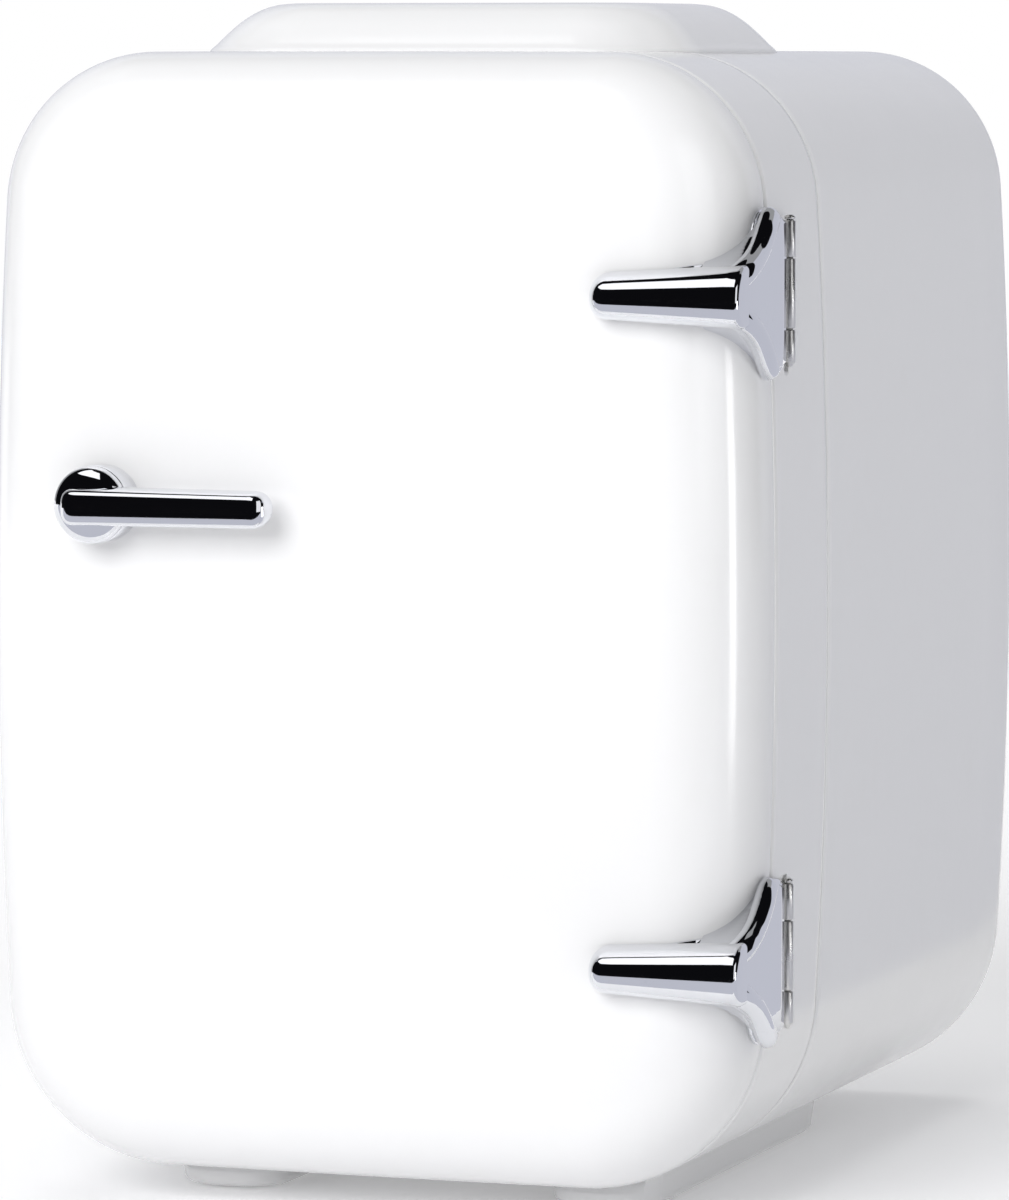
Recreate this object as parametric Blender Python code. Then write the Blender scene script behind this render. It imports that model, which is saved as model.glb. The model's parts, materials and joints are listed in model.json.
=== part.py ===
"""Retro thermoelectric mini fridge, modelled as the separate pieces it comes apart into.

Metres, +Z up. The door faces -Y, X is 0 on the centre line of the body and Z is 0 on the table.
"""

import math

import bmesh
import bpy
from mathutils import Matrix, Vector

MM = 0.001
GAP = 0.3 * MM

# Body outline, seen from the front: four slightly crowned sides with arcs between them.
BODY_HALF_WIDTH = 89.5 * MM
BODY_BOTTOM = 7.2 * MM
BODY_TOP = 254.3 * MM
SIDE_RADIUS = 1500 * MM
TOP_RADIUS = 9000 * MM
TOP_CORNER_RADIUS = 34 * MM
BOTTOM_CORNER_RADIUS = 38.5 * MM
WALL = 2.5 * MM
BODY_CENTRE_Z = (BODY_BOTTOM + BODY_TOP) / 2
BODY_HALF_HEIGHT = (BODY_TOP - BODY_BOTTOM) / 2

# Planes along Y, from the front of the door to the rear cover.
DOOR_FRONT = -107.5 * MM
DOOR_EDGE_END = -84 * MM
DOOR_REAR = -82.4 * MM
COLLAR_FRONT = -81.4 * MM
COLLAR_SEAM = -43 * MM
LINER_REAR = 64 * MM
FOAM_REAR = 83 * MM
REAR_PLANE = 120 * MM

# Door front: an elliptical edge round a slightly crowned face.
EDGE_WIDTH = 21.5 * MM
FACE_CROWN = 1.2 * MM

# Cabinet walls.
OPENING_INSET = 17.5 * MM
LINER_INSET = 20 * MM
LINER_WALL = 1.8 * MM
PLUG_INSET = 21.8 * MM
PLUG_REAR = DOOR_REAR + 6 * MM
MAGNET_X = (-85.2 * MM, -81.4 * MM)
REAR_EDGE = 14 * MM

# Door hinges: chrome straps round the door's right edge, each with the middle knuckle of a hinge.
HINGE_AXIS = Vector((89.2 * MM, -71.5 * MM, 0))
HINGE_HEIGHTS = {"upper": BODY_TOP - 51.7 * MM, "lower": BODY_TOP - 195.5 * MM}
KNUCKLE_RADIUS = 1.8 * MM
KNUCKLE_BORE = 1.15 * MM
PIN_RADIUS = 0.85 * MM
KNUCKLE_LENGTHS = (8.2 * MM, 15.4 * MM, 7.4 * MM)
LEAF_FACES = (-72 * MM, -71 * MM)
LEAF_REACH = (78.5 * MM, 86.7 * MM)
STRAP_TIP_X = 56.6 * MM
STRAP_HALF_HEIGHTS = (4.9 * MM, 6.6 * MM, 18.7 * MM)
STRAP_REAR = -74.6 * MM

# Pull handle on the door.
HANDLE_X = -56.2 * MM
HANDLE_Z = BODY_TOP - 98.3 * MM
HANDLE_END_X = -13.8 * MM
HANDLE_FRONT = -120 * MM

# Raised housing on top, with the folding carry handle in its pocket.
HOUSING_CENTRE_Y = -10 * MM
HOUSING_TOP = 265 * MM
POCKET_HALF = (34 * MM, 25 * MM)
POCKET_FLOOR = 256.6 * MM
BAIL_AXIS = Vector((0, HOUSING_CENTRE_Y + 20 * MM, 261 * MM))
BAIL_HALF_WIDTH = 30 * MM
BAIL_REACH = 39 * MM
BAIL_SIDE = 6 * MM

# Feet.
SKID_CENTRES = {"left": -42 * MM, "right": 46 * MM}
SKID_Y = (-76 * MM, 58 * MM)
SKID_BOTTOM = 0.4 * MM
PAD_TOP = 1.6 * MM

# Cooling unit behind the liner.
COOLER_Z = 150 * MM
FAN_FRONT = 103.6 * MM
FAN_DEPTH = 12 * MM
FAN_HALF = 40 * MM
FAN_BORE = 36.5 * MM
ROTOR_CENTRE = Vector((0, FAN_FRONT + 5 * MM, COOLER_Z))
SOCKET_Z = 62 * MM
SWITCH_CENTRE = Vector((0, REAR_PLANE - 1 * MM, SOCKET_Z))


def clear_scene():
    for obj in list(bpy.data.objects):
        bpy.data.objects.remove(obj, do_unlink=True)


def material(name, colour, roughness, metallic=0.0):
    made = bpy.data.materials.new(name)
    made.use_nodes = True
    shader = made.node_tree.nodes["Principled BSDF"]
    shader.inputs["Base Color"].default_value = (*colour, 1)
    shader.inputs["Roughness"].default_value = roughness
    shader.inputs["Metallic"].default_value = metallic
    return made


def make_object(name, mesh_data, surface, smooth=False):
    mesh = bpy.data.meshes.new(name)
    bmesh.ops.recalc_face_normals(mesh_data, faces=mesh_data.faces)
    for face in mesh_data.faces:
        face.smooth = smooth
    mesh_data.to_mesh(mesh)
    mesh_data.free()
    mesh.materials.append(surface)
    obj = bpy.data.objects.new(name, mesh)
    bpy.context.collection.objects.link(obj)
    return obj


def helper(obj):
    """Hides a cutter, or a shape that is joined to another one."""
    obj.hide_render = True
    obj.display_type = "WIRE"
    return obj


def combine(obj, operation, others):
    for other in others:
        helper(other)
        modifier = obj.modifiers.new(other.name, "BOOLEAN")
        modifier.operation = operation
        modifier.object = other
    return obj


def cut(obj, *cutters):
    return combine(obj, "DIFFERENCE", cutters)


def join(obj, *others):
    return combine(obj, "UNION", others)


def round_edges(obj, width, segments=2):
    modifier = obj.modifiers.new("rounded edges", "BEVEL")
    modifier.width = width
    modifier.segments = segments
    modifier.limit_method = "ANGLE"


def loft(name, rings, surface, closed=False, smooth=True):
    """Skins matching rings of points, with a cap on each end or, when closed, back to the first."""
    mesh_data = bmesh.new()
    loops = [[mesh_data.verts.new(point) for point in ring] for ring in rings]
    pairs = list(zip(loops, loops[1:]))
    if closed:
        pairs.append((loops[-1], loops[0]))
    else:
        mesh_data.faces.new(loops[0])
        mesh_data.faces.new(loops[-1])
    count = len(loops[0])
    for first, second in pairs:
        for i in range(count):
            j = (i + 1) % count
            mesh_data.faces.new((first[i], first[j], second[j], second[i]))
    return make_object(name, mesh_data, surface, smooth)


def block(name, low, high, surface, rounding=0.0):
    low = Vector(low)
    high = Vector(high)
    mesh_data = bmesh.new()
    bmesh.ops.create_cube(mesh_data, size=1)
    bmesh.ops.scale(mesh_data, vec=high - low, verts=mesh_data.verts)
    obj = make_object(name, mesh_data, surface)
    obj.location = (low + high) / 2
    if rounding:
        round_edges(obj, rounding)
    return obj


def rod(name, start, end, radius, surface, segments=24, end_radius=None):
    """A cylinder or cone from start to end, which lie along one of the axes."""
    start = Vector(start)
    end = Vector(end)
    mesh_data = bmesh.new()
    bmesh.ops.create_cone(
        mesh_data,
        cap_ends=True,
        segments=segments,
        radius1=radius,
        radius2=radius if end_radius is None else end_radius,
        depth=(end - start).length,
    )
    turn = Vector((0, 0, 1)).rotation_difference(end - start).to_matrix()
    bmesh.ops.rotate(mesh_data, matrix=turn, verts=mesh_data.verts)
    obj = make_object(name, mesh_data, surface, smooth=True)
    obj.location = (start + end) / 2
    return obj


def prism(name, outline, low_z, high_z, surface):
    """An outline of (x, y) points, extruded upwards."""
    rings = [[Vector((x, y, z)) for x, y in outline] for z in (low_z, high_z)]
    return loft(name, rings, surface, smooth=False)


def pivot(name, location):
    empty = bpy.data.objects.new(name, None)
    empty.location = location
    bpy.context.collection.objects.link(empty)
    return empty


def hang(parent, objects):
    """Parents objects to an empty on their joint axis, and leaves them where they are."""
    for obj in objects:
        obj.parent = parent
        obj.matrix_parent_inverse = Matrix.Translation(-parent.location)


def arc(centre, radius, start, end, steps):
    """Points from the angle start up to, and not including, the angle end."""
    angles = [start + (end - start) * i / steps for i in range(steps)]
    return [(centre[0] + radius * math.cos(a), centre[1] + radius * math.sin(a)) for a in angles]


def corner_centre(radius):
    """Centre of the arc that joins the side and top arcs of an upper right quarter, and the two other centres."""
    side = Vector((BODY_HALF_WIDTH - SIDE_RADIUS, 0))
    top = Vector((0, BODY_HALF_HEIGHT - TOP_RADIUS))
    to_side = SIDE_RADIUS - radius
    to_top = TOP_RADIUS - radius
    between = top - side
    along = (to_side**2 - to_top**2 + between.length_squared) / (2 * between.length)
    off = math.sqrt(to_side**2 - along**2)
    direction = between.normalized()
    corner = side + direction * along + Vector((-direction.y, direction.x)) * off
    return side, top, corner


def quarter_outline(radius, inset):
    side, top, corner = corner_centre(radius)
    side_end = math.atan2(corner.y - side.y, corner.x - side.x)
    top_start = math.atan2(corner.y - top.y, corner.x - top.x)
    points = arc(side, SIDE_RADIUS - inset, 0, side_end, 2)
    points += arc(corner, radius - inset, side_end, top_start, 6)
    points += arc(top, TOP_RADIUS - inset, top_start, math.pi / 2, 2)
    return points


def half_outline(radius, inset):
    right = quarter_outline(radius, inset)
    apex = (0, BODY_HALF_HEIGHT - inset)
    return right + [apex] + [(-x, z) for x, z in reversed(right[1:])]


def body_ring(y, inset=0.0, scale=1.0):
    """The body outline at a depth y, moved inwards by inset and shrunk about its centre."""
    upper = half_outline(TOP_CORNER_RADIUS, inset)
    lower = half_outline(BOTTOM_CORNER_RADIUS, inset)
    points = upper + [(-x, -z) for x, z in lower]
    return [Vector((x * scale, y, BODY_CENTRE_Z + z * scale)) for x, z in points]


def body_solid(name, y_low, y_high, inset, surface):
    return loft(name, [body_ring(y_low, inset), body_ring(y_high, inset)], surface, smooth=False)


def door_face_rings(offset=0.0):
    """Rings over the front of the door, from its middle to the end of its edge, moved inwards by offset."""
    edge_depth = DOOR_EDGE_END - DOOR_FRONT - FACE_CROWN
    rings = [body_ring(DOOR_FRONT + offset, EDGE_WIDTH, 0.35)]
    rings.append(body_ring(DOOR_FRONT + 0.3 * FACE_CROWN + offset, EDGE_WIDTH, 0.7))
    steps = 6
    for i in range(steps, -1, -1):
        angle = math.radians(90 * i / steps)
        inset = offset + (EDGE_WIDTH - offset) * (1 - math.cos(angle))
        y = DOOR_EDGE_END - (edge_depth - offset) * math.sin(angle)
        rings.append(body_ring(y, inset))
    return rings


def rounded_rectangle(half_x, half_y, radius, steps=5):
    x = half_x - radius
    y = half_y - radius
    right = math.pi / 2
    points = []
    for i, centre in enumerate(((x, y), (-x, y), (-x, -y), (x, -y))):
        points += arc(centre, radius, i * right, (i + 1) * right, steps)
        points.append(
            (centre[0] + radius * math.cos((i + 1) * right), centre[1] + radius * math.sin((i + 1) * right))
        )
    return points


def flat_ring(half_x, half_y, radius, z, centre_y=0.0, centre_x=0.0):
    outline = rounded_rectangle(half_x, half_y, radius)
    return [Vector((centre_x + x, centre_y + y, z)) for x, y in outline]


def door_front_shell():
    """The moulded front of the door, a shallow cup open to the rear."""
    rings = door_face_rings()
    rings.append(body_ring(DOOR_REAR - 0.8 * MM))
    rings.append(body_ring(DOOR_REAR, 0.8 * MM))
    rings.append(body_ring(DOOR_REAR, WALL))
    return loft("door_front_shell", rings + list(reversed(door_face_rings(WALL))), WHITE)


def door_insides():
    """Liner, foam, gasket and magnet of the door."""
    panel_inset = WALL + 2 * GAP
    flange_front = DOOR_REAR - 4.5 * MM
    flange_rear = DOOR_REAR - 2.4 * MM
    liner_rings = [
        body_ring(flange_front, panel_inset),
        body_ring(flange_rear, panel_inset),
        body_ring(flange_rear, PLUG_INSET),
        body_ring(PLUG_REAR - 1.5 * MM, PLUG_INSET),
        body_ring(PLUG_REAR, PLUG_INSET + 1.5 * MM),
        body_ring(PLUG_REAR, PLUG_INSET + 6 * MM),
        body_ring(DOOR_REAR - 1.5 * MM, PLUG_INSET + 8 * MM),
    ]
    liner = loft("door_liner", liner_rings, LINER_GREY)
    foam_rings = [
        body_ring(-100 * MM, 22 * MM),
        body_ring(-94 * MM, 10 * MM),
        body_ring(flange_front - GAP, 8.5 * MM),
    ]
    foam = loft("door_foam", foam_rings, FOAM, smooth=False)
    gasket_front = flange_rear + GAP
    gasket_rear = COLLAR_FRONT - GAP
    gasket_rings = [
        body_ring(gasket_front, 7.4 * MM),
        body_ring(gasket_rear - 0.8 * MM, 7.4 * MM),
        body_ring(gasket_rear, 8.2 * MM),
        body_ring(gasket_rear, 13.2 * MM),
        body_ring(gasket_rear - 0.8 * MM, 14 * MM),
        body_ring(gasket_front, 14 * MM),
    ]
    gasket = loft("door_gasket", gasket_rings, RUBBER_GREY, closed=True)
    low = (MAGNET_X[0], flange_front - 4.5 * MM, BODY_CENTRE_Z - 15 * MM)
    high = (MAGNET_X[1], flange_front - GAP, BODY_CENTRE_Z + 15 * MM)
    magnet = block("door_magnet", low, high, STEEL, 0.4 * MM)
    return [liner, foam, gasket, magnet]


def door_envelope(name):
    """A solid of the door's outside, grown by the gap, that trims what is fixed on the door."""
    rings = door_face_rings(-GAP)
    rings.append(body_ring(DOOR_REAR, -GAP))
    return helper(loft(name, rings, WHITE))


def door_handle():
    """Round base, pull bar and the two screws that hold them from inside the door."""
    behind = DOOR_FRONT + 5 * MM
    base_front = DOOR_FRONT - 4.2 * MM
    neck_front = DOOR_FRONT - 6.4 * MM
    centre = Vector((HANDLE_X, 0, HANDLE_Z))
    forward = Vector((0, 1, 0))
    base = rod("handle_base", centre + forward * behind, centre + forward * base_front, 9.8 * MM, CHROME, 40)
    neck = rod("handle_neck_shape", centre + forward * (base_front + MM), centre + forward * neck_front,
               7 * MM, CHROME, 32)
    join(base, neck)
    cut(base, door_envelope("handle_base_trim"))
    bar_low = (HANDLE_X - 7 * MM, HANDLE_FRONT + 0.6 * MM, HANDLE_Z - 4 * MM)
    bar_high = (HANDLE_END_X, neck_front - GAP, HANDLE_Z + 4 * MM)
    bar = block("handle_bar", bar_low, bar_high, CHROME)
    round_edges(bar, 2 * MM, 3)
    cap = rod("handle_cap_shape", centre + forward * (neck_front - GAP), centre + forward * HANDLE_FRONT,
              8.6 * MM, CHROME, 40, end_radius=7.2 * MM)
    join(bar, cap)
    screws = []
    for side, dx in (("left", -4 * MM), ("right", 4 * MM)):
        head = centre + Vector((dx, DOOR_FRONT + 6 * MM, 0))
        under_head = centre + Vector((dx, DOOR_FRONT + 4.2 * MM, 0))
        tip = centre + Vector((dx, DOOR_FRONT - 3 * MM, 0))
        screw = rod("handle_screw_" + side, head, under_head, 2.6 * MM, STEEL, 16)
        shank = rod("handle_shank_shape_" + side, head - forward * MM, tip, 1.2 * MM, STEEL, 12)
        join(screw, shank)
        hole_end = tip - forward * 0.5 * MM
        hole = rod("handle_hole_shape_" + side, head, hole_end, 1.5 * MM, STEEL, 12)
        cut(base, hole)
        screws.append((screw, hole))
    return base, bar, [screw for screw, hole in screws], [hole for screw, hole in screws]


def side_x_at(height):
    """How far the body's side stands out at a height."""
    return BODY_HALF_WIDTH - SIDE_RADIUS + math.sqrt(SIDE_RADIUS**2 - (height - BODY_CENTRE_Z) ** 2)


def plan_on_door(share, height, offset):
    """A point off the door's right edge: share 0 is the tip of the strap, 1 is beside the hinge."""
    side_x = side_x_at(height)
    edge_depth = DOOR_EDGE_END - DOOR_FRONT - FACE_CROWN
    front_share = 0.25
    edge_share = 0.75
    if share < front_share:
        x = STRAP_TIP_X + (side_x - EDGE_WIDTH - STRAP_TIP_X) * share / front_share
        return x, DOOR_EDGE_END - edge_depth - 0.5 * MM - offset
    if share < edge_share:
        angle = math.pi / 2 * (edge_share - share) / (edge_share - front_share)
        x = side_x - EDGE_WIDTH + (EDGE_WIDTH + offset) * math.cos(angle)
        blend = 0.5 * MM * math.sin(angle)
        return x, DOOR_EDGE_END - (edge_depth + offset) * math.sin(angle) - blend
    y = DOOR_EDGE_END + (STRAP_REAR - DOOR_EDGE_END) * (share - edge_share) / (1 - edge_share)
    return side_x + offset, y


def strap_half_height(share):
    tip, elbow, flare = STRAP_HALF_HEIGHTS
    flare_start = 0.45
    if share < flare_start:
        return tip + (elbow - tip) * share / flare_start
    t = min((share - flare_start) / (0.85 - flare_start), 1)
    return elbow + (flare - elbow) * t * t


def strap_standoff(share, across):
    """How far the chrome stands off the door: a ridge along the bar that dies out behind the corner."""
    ridge = math.cos(math.pi / 2 * across) ** 0.6
    fade = max(0, math.sin(math.pi * min(share / 0.8, 1)))
    along = 1.5 * MM * (1 - share) + 6 * MM * fade**0.8
    return 1.6 * MM + along * ridge


def strap_sheet(name, centre):
    """An outer sheet that follows the door's edge, and a back that clears the door by the gap."""
    columns = 18
    rows = 8
    mesh_data = bmesh.new()
    sheets = []
    for outer in (True, False):
        sheet = []
        for i in range(columns + 1):
            share = i / columns
            column = []
            for j in range(rows + 1):
                across = 2 * j / rows - 1
                height = centre + across * strap_half_height(share)
                offset = strap_standoff(share, abs(across) * 0.98) if outer else 2 * GAP
                x, y = plan_on_door(share, height, offset)
                column.append(mesh_data.verts.new((x, y, height)))
            sheet.append(column)
        sheets.append(sheet)
    outside, inside = sheets
    for sheet in sheets:
        for i in range(columns):
            for j in range(rows):
                mesh_data.faces.new((sheet[i][j], sheet[i + 1][j], sheet[i + 1][j + 1], sheet[i][j + 1]))
    rim = [(i, 0) for i in range(columns)]
    rim += [(columns, j) for j in range(rows)]
    rim += [(i, rows) for i in range(columns, 0, -1)]
    rim += [(0, j) for j in range(rows, 0, -1)]
    for (i, j), (m, n) in zip(rim, rim[1:] + rim[:1]):
        mesh_data.faces.new((outside[i][j], outside[m][n], inside[m][n], inside[i][j]))
    return make_object(name, mesh_data, CHROME, smooth=True)


def knuckle_spans(place):
    """(low, high) of the lower, middle and upper knuckles of a hinge."""
    total = sum(KNUCKLE_LENGTHS)
    low = HINGE_HEIGHTS[place] - total / 2
    spans = []
    for length in reversed(KNUCKLE_LENGTHS):
        spans.append((low + GAP / 2, low + length - GAP / 2))
        low += length
    return spans


def on_axis(height):
    return HINGE_AXIS + Vector((0, 0, height))


def hinge_bore(name, place):
    every = knuckle_spans(place)
    return rod(name, on_axis(every[0][0] - MM), on_axis(every[-1][1] + MM), KNUCKLE_BORE, CHROME, 16)


def hinge_strap(place):
    """The chrome strap with its knuckle, and the screw that holds its tip from inside the door."""
    centre = HINGE_HEIGHTS[place]
    name = "hinge_strap_" + place
    strap = strap_sheet(name, centre)
    low, high = knuckle_spans(place)[1]
    side_x = side_x_at(centre)
    link = block(name + "_link_shape", (side_x + 2 * GAP, STRAP_REAR - MM, low),
                 (side_x + 1.6 * MM, HINGE_AXIS.y, high), CHROME)
    knuckle = rod(name + "_knuckle_shape", on_axis(low), on_axis(high), KNUCKLE_RADIUS, CHROME, 20)
    join(strap, link, knuckle)
    cut(strap, hinge_bore(name + "_bore_shape", place))
    screw_x = STRAP_TIP_X + 5 * MM
    head = Vector((screw_x, DOOR_FRONT + 6.6 * MM, centre))
    under_head = Vector((screw_x, DOOR_FRONT + 4.8 * MM, centre))
    tip = Vector((screw_x, DOOR_FRONT - 1.2 * MM, centre))
    screw = rod("strap_screw_" + place, head, under_head, 2.4 * MM, STEEL, 16)
    join(screw, rod(f"strap_shank_shape_{place}", head - Vector((0, MM, 0)), tip, MM, STEEL, 12))
    hole = rod(f"strap_hole_shape_{place}", head, tip - Vector((0, GAP, 0)), MM + GAP, STEEL, 12)
    cut(strap, hole)
    return strap, screw, hole


def hinge_leaf(place):
    """The cabinet's leaf: a plate that passes in through the collar's side, with two knuckles."""
    spans = knuckle_spans(place)
    lower = spans[0]
    upper = spans[2]
    name = "cabinet_hinge_leaf_" + place
    front, rear = LEAF_FACES
    leaf = block(name, (LEAF_REACH[0], front, lower[0]), (LEAF_REACH[1], rear, upper[1]), CHROME)
    for number, (low, high) in enumerate((lower, upper)):
        label = f"{name}_shape_{number}"
        link = block(label + "_link", (LEAF_REACH[1] - MM, front, low), (HINGE_AXIS.x, rear, high), CHROME)
        join(leaf, link, rod(label + "_knuckle", on_axis(low), on_axis(high), KNUCKLE_RADIUS, CHROME, 20))
    cut(leaf, hinge_bore(name + "_bore_shape", place))


def leaf_pocket(name, place):
    """The slot that a leaf passes through."""
    every = knuckle_spans(place)
    low = (LEAF_REACH[0] - GAP, LEAF_FACES[0] - GAP, every[0][0] - GAP)
    high = (BODY_HALF_WIDTH + 5 * MM, LEAF_FACES[1] + GAP, every[-1][1] + GAP)
    return block(name, low, high, WHITE)


def barrel_recess(name, place):
    """The round groove in the collar's side that the knuckles turn in."""
    every = knuckle_spans(place)
    reach = 1.6 * MM
    return rod(name, on_axis(every[0][0] - reach), on_axis(every[-1][1] + reach),
               KNUCKLE_RADIUS + GAP, WHITE, 24)


def hinge_pin(place):
    every = knuckle_spans(place)
    low = every[0][0] - GAP
    high = every[-1][1] + GAP
    head = 0.9 * MM
    name = "hinge_pin_" + place
    pin = rod(name, on_axis(low - head / 2), on_axis(high + head / 2), PIN_RADIUS, STEEL, 16)
    lower = rod(name + "_foot_shape", on_axis(low - head), on_axis(low), KNUCKLE_RADIUS, STEEL, 16)
    upper = rod(name + "_head_shape", on_axis(high), on_axis(high + head), KNUCKLE_RADIUS, STEEL, 16)
    join(pin, lower, upper)


def cabinet_collar():
    soft = 0.8 * MM
    rings = [
        body_ring(COLLAR_FRONT, soft),
        body_ring(COLLAR_FRONT + soft),
        body_ring(COLLAR_SEAM - GAP / 2),
        body_ring(COLLAR_SEAM - GAP / 2, WALL),
        body_ring(COLLAR_FRONT + WALL, WALL),
        body_ring(COLLAR_FRONT + WALL, OPENING_INSET),
        body_ring(COLLAR_FRONT, OPENING_INSET),
    ]
    return loft("cabinet_front_collar", rings, WHITE, closed=True)


def cabinet_shell():
    """The main tube of the cabinet, with its rear edge rounded in to the cover."""
    straight_end = REAR_PLANE - REAR_EDGE
    outer = [body_ring(COLLAR_SEAM + GAP / 2)]
    inner = [body_ring(COLLAR_SEAM + GAP / 2, WALL)]
    steps = 5
    for i in range(steps + 1):
        angle = math.radians(90 * i / steps)
        across = 1 - math.cos(angle)
        outer.append(body_ring(straight_end + REAR_EDGE * math.sin(angle), REAR_EDGE * across))
        inner_radius = REAR_EDGE - WALL
        inner.append(body_ring(straight_end + inner_radius * math.sin(angle), WALL + inner_radius * across))
    loft("cabinet_shell", outer + list(reversed(inner)), WHITE, closed=True)


def inner_liner():
    """The inner box: a deep cup with a front flange and two rails for the shelf."""
    front = COLLAR_FRONT + WALL + GAP
    outside = LINER_INSET - LINER_WALL
    rings = [
        body_ring(LINER_REAR + LINER_WALL, LINER_INSET + 3 * MM),
        body_ring(LINER_REAR - 2 * MM, outside),
        body_ring(front + LINER_WALL, outside),
        body_ring(front + LINER_WALL, 10 * MM),
        body_ring(front, 10 * MM),
        body_ring(front, LINER_INSET),
        body_ring(LINER_REAR - 3 * MM, LINER_INSET),
        body_ring(LINER_REAR, LINER_INSET + 3 * MM),
    ]
    liner = loft("inner_liner", rings, LINER_GREY)
    inside = BODY_HALF_WIDTH - LINER_INSET
    for side, sign in (("left", -1), ("right", 1)):
        xs = sorted((sign * (inside - 4 * MM), sign * (inside + 0.8 * MM)))
        low = (xs[0], SHELF_FRONT, SHELF_Z - 3 * MM)
        high = (xs[1], 56 * MM, SHELF_Z)
        join(liner, block("liner_rail_shape_" + side, low, high, LINER_GREY))


def cabinet_foam():
    """Insulation between the liner and the shells, with a window for the cold block."""
    front = COLLAR_FRONT + 5 * MM
    inside = LINER_INSET - LINER_WALL - GAP
    rings = [
        body_ring(FOAM_REAR, WALL + GAP),
        body_ring(front, WALL + GAP),
        body_ring(front, inside),
        body_ring(LINER_REAR + LINER_WALL + GAP, inside),
    ]
    foam = loft("cabinet_foam", rings, FOAM, smooth=False)
    window = 20 * MM + GAP
    low = (-window, LINER_REAR, COOLER_Z - window)
    high = (window, FOAM_REAR + MM, COOLER_Z + window)
    return cut(foam, block("foam_window_shape", low, high, FOAM))


def shelf():
    """A slotted tray that rests on the liner's rails."""
    half = BODY_HALF_WIDTH - LINER_INSET - 0.8 * MM
    low = (-half, SHELF_FRONT, SHELF_Z + GAP)
    high = (half, 58 * MM, SHELF_Z + 3.3 * MM)
    tray = block("shelf", low, high, SHELF_PLASTIC)
    lip = block("shelf_lip_shape", (-half + MM, SHELF_FRONT, SHELF_Z + 2 * MM),
                (half - MM, SHELF_FRONT + 3 * MM, SHELF_Z + 7 * MM), SHELF_PLASTIC)
    join(tray, lip)
    slots = 7
    spacing = 16 * MM
    for i in range(slots):
        x = (i - (slots - 1) / 2) * spacing
        slot_low = (x - 1.8 * MM, SHELF_FRONT + 14 * MM, SHELF_Z - MM)
        slot_high = (x + 1.8 * MM, 48 * MM, SHELF_Z + 6 * MM)
        cut(tray, block(f"shelf_slot_shape_{i}", slot_low, slot_high, SHELF_PLASTIC))


def cooling_stack():
    """Cold plate, cold block, thermoelectric module and finned heat sink, from front to back."""
    block("cold_plate", (-42 * MM, LINER_REAR - 3 * MM, COOLER_Z - 45 * MM),
          (42 * MM, LINER_REAR - GAP, COOLER_Z + 45 * MM), ALUMINIUM, MM)
    half = 20 * MM
    block_rear = FOAM_REAR - MM
    block("cold_block", (-half, LINER_REAR + LINER_WALL + GAP, COOLER_Z - half),
          (half, block_rear, COOLER_Z + half), ALUMINIUM)
    module_front = block_rear + GAP
    module_rear = module_front + 3.8 * MM
    block("peltier_module", (-half, module_front, COOLER_Z - half),
          (half, module_rear, COOLER_Z + half), CERAMIC)
    heat_sink(module_rear + GAP)


def heat_sink(front):
    """A comb of fins on a base plate, extruded upwards."""
    half = 42 * MM
    base_rear = front + 4 * MM
    fin_rear = FAN_FRONT - GAP
    fins = 12
    fin = 1.4 * MM
    pitch = (2 * half - fin) / (fins - 1)
    outline = [(half, front), (-half, front)]
    for i in range(fins):
        x = -half + i * pitch
        outline += [(x, fin_rear), (x + fin, fin_rear)]
        if i < fins - 1:
            outline += [(x + fin, base_rear), (x + pitch, base_rear)]
    prism("heat_sink", outline, COOLER_Z - 42 * MM, COOLER_Z + 42 * MM, ALUMINIUM)


def fan():
    """A square fan frame with a motor seat on three arms, and the rotor that turns in it."""
    rear = FAN_FRONT + FAN_DEPTH
    frame = block("fan_housing", (-FAN_HALF, FAN_FRONT, COOLER_Z - FAN_HALF),
                  (FAN_HALF, rear, COOLER_Z + FAN_HALF), BLACK_PLASTIC)
    centre = Vector((0, 0, COOLER_Z))
    forward = Vector((0, 1, 0))
    bore = rod("fan_bore_shape", centre + forward * (FAN_FRONT - MM), centre + forward * (rear + MM),
               FAN_BORE, BLACK_PLASTIC, 40)
    cut(frame, bore)
    seat = rod("fan_seat_shape", centre + forward * (rear - 1.6 * MM), centre + forward * rear,
               13 * MM, BLACK_PLASTIC, 24)
    join(frame, seat)
    for i in range(3):
        arm = block(f"fan_arm_shape_{i}", (8 * MM, rear - 1.6 * MM, -1.5 * MM),
                    (38 * MM, rear - 0.1 * MM, 1.5 * MM), BLACK_PLASTIC)
        spin = Matrix.Rotation(math.radians(90 + 120 * i), 4, "Y")
        arm.matrix_world = Matrix.Translation(centre) @ spin @ Matrix.Translation(arm.location)
        join(frame, arm)
    hub_front = FAN_FRONT + 0.8 * MM
    hub_rear = rear - 2.2 * MM
    rotor = rod("fan_rotor", (0, hub_front, COOLER_Z), (0, hub_rear, COOLER_Z), 12 * MM, BLACK_PLASTIC, 28)
    blades = 7
    for i in range(blades):
        blade = block(f"fan_blade_shape_{i}", (10 * MM, -0.6 * MM, -7 * MM), (35 * MM, 0.6 * MM, 7 * MM),
                      BLACK_PLASTIC)
        pitch = Matrix.Rotation(math.radians(30), 4, "X")
        spin = Matrix.Rotation(math.tau * i / blades, 4, "Y")
        middle = Matrix.Translation((0, (hub_front + hub_rear) / 2, COOLER_Z))
        blade.matrix_world = middle @ spin @ pitch @ Matrix.Translation(blade.location)
        join(rotor, blade)
    return frame, rotor


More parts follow.
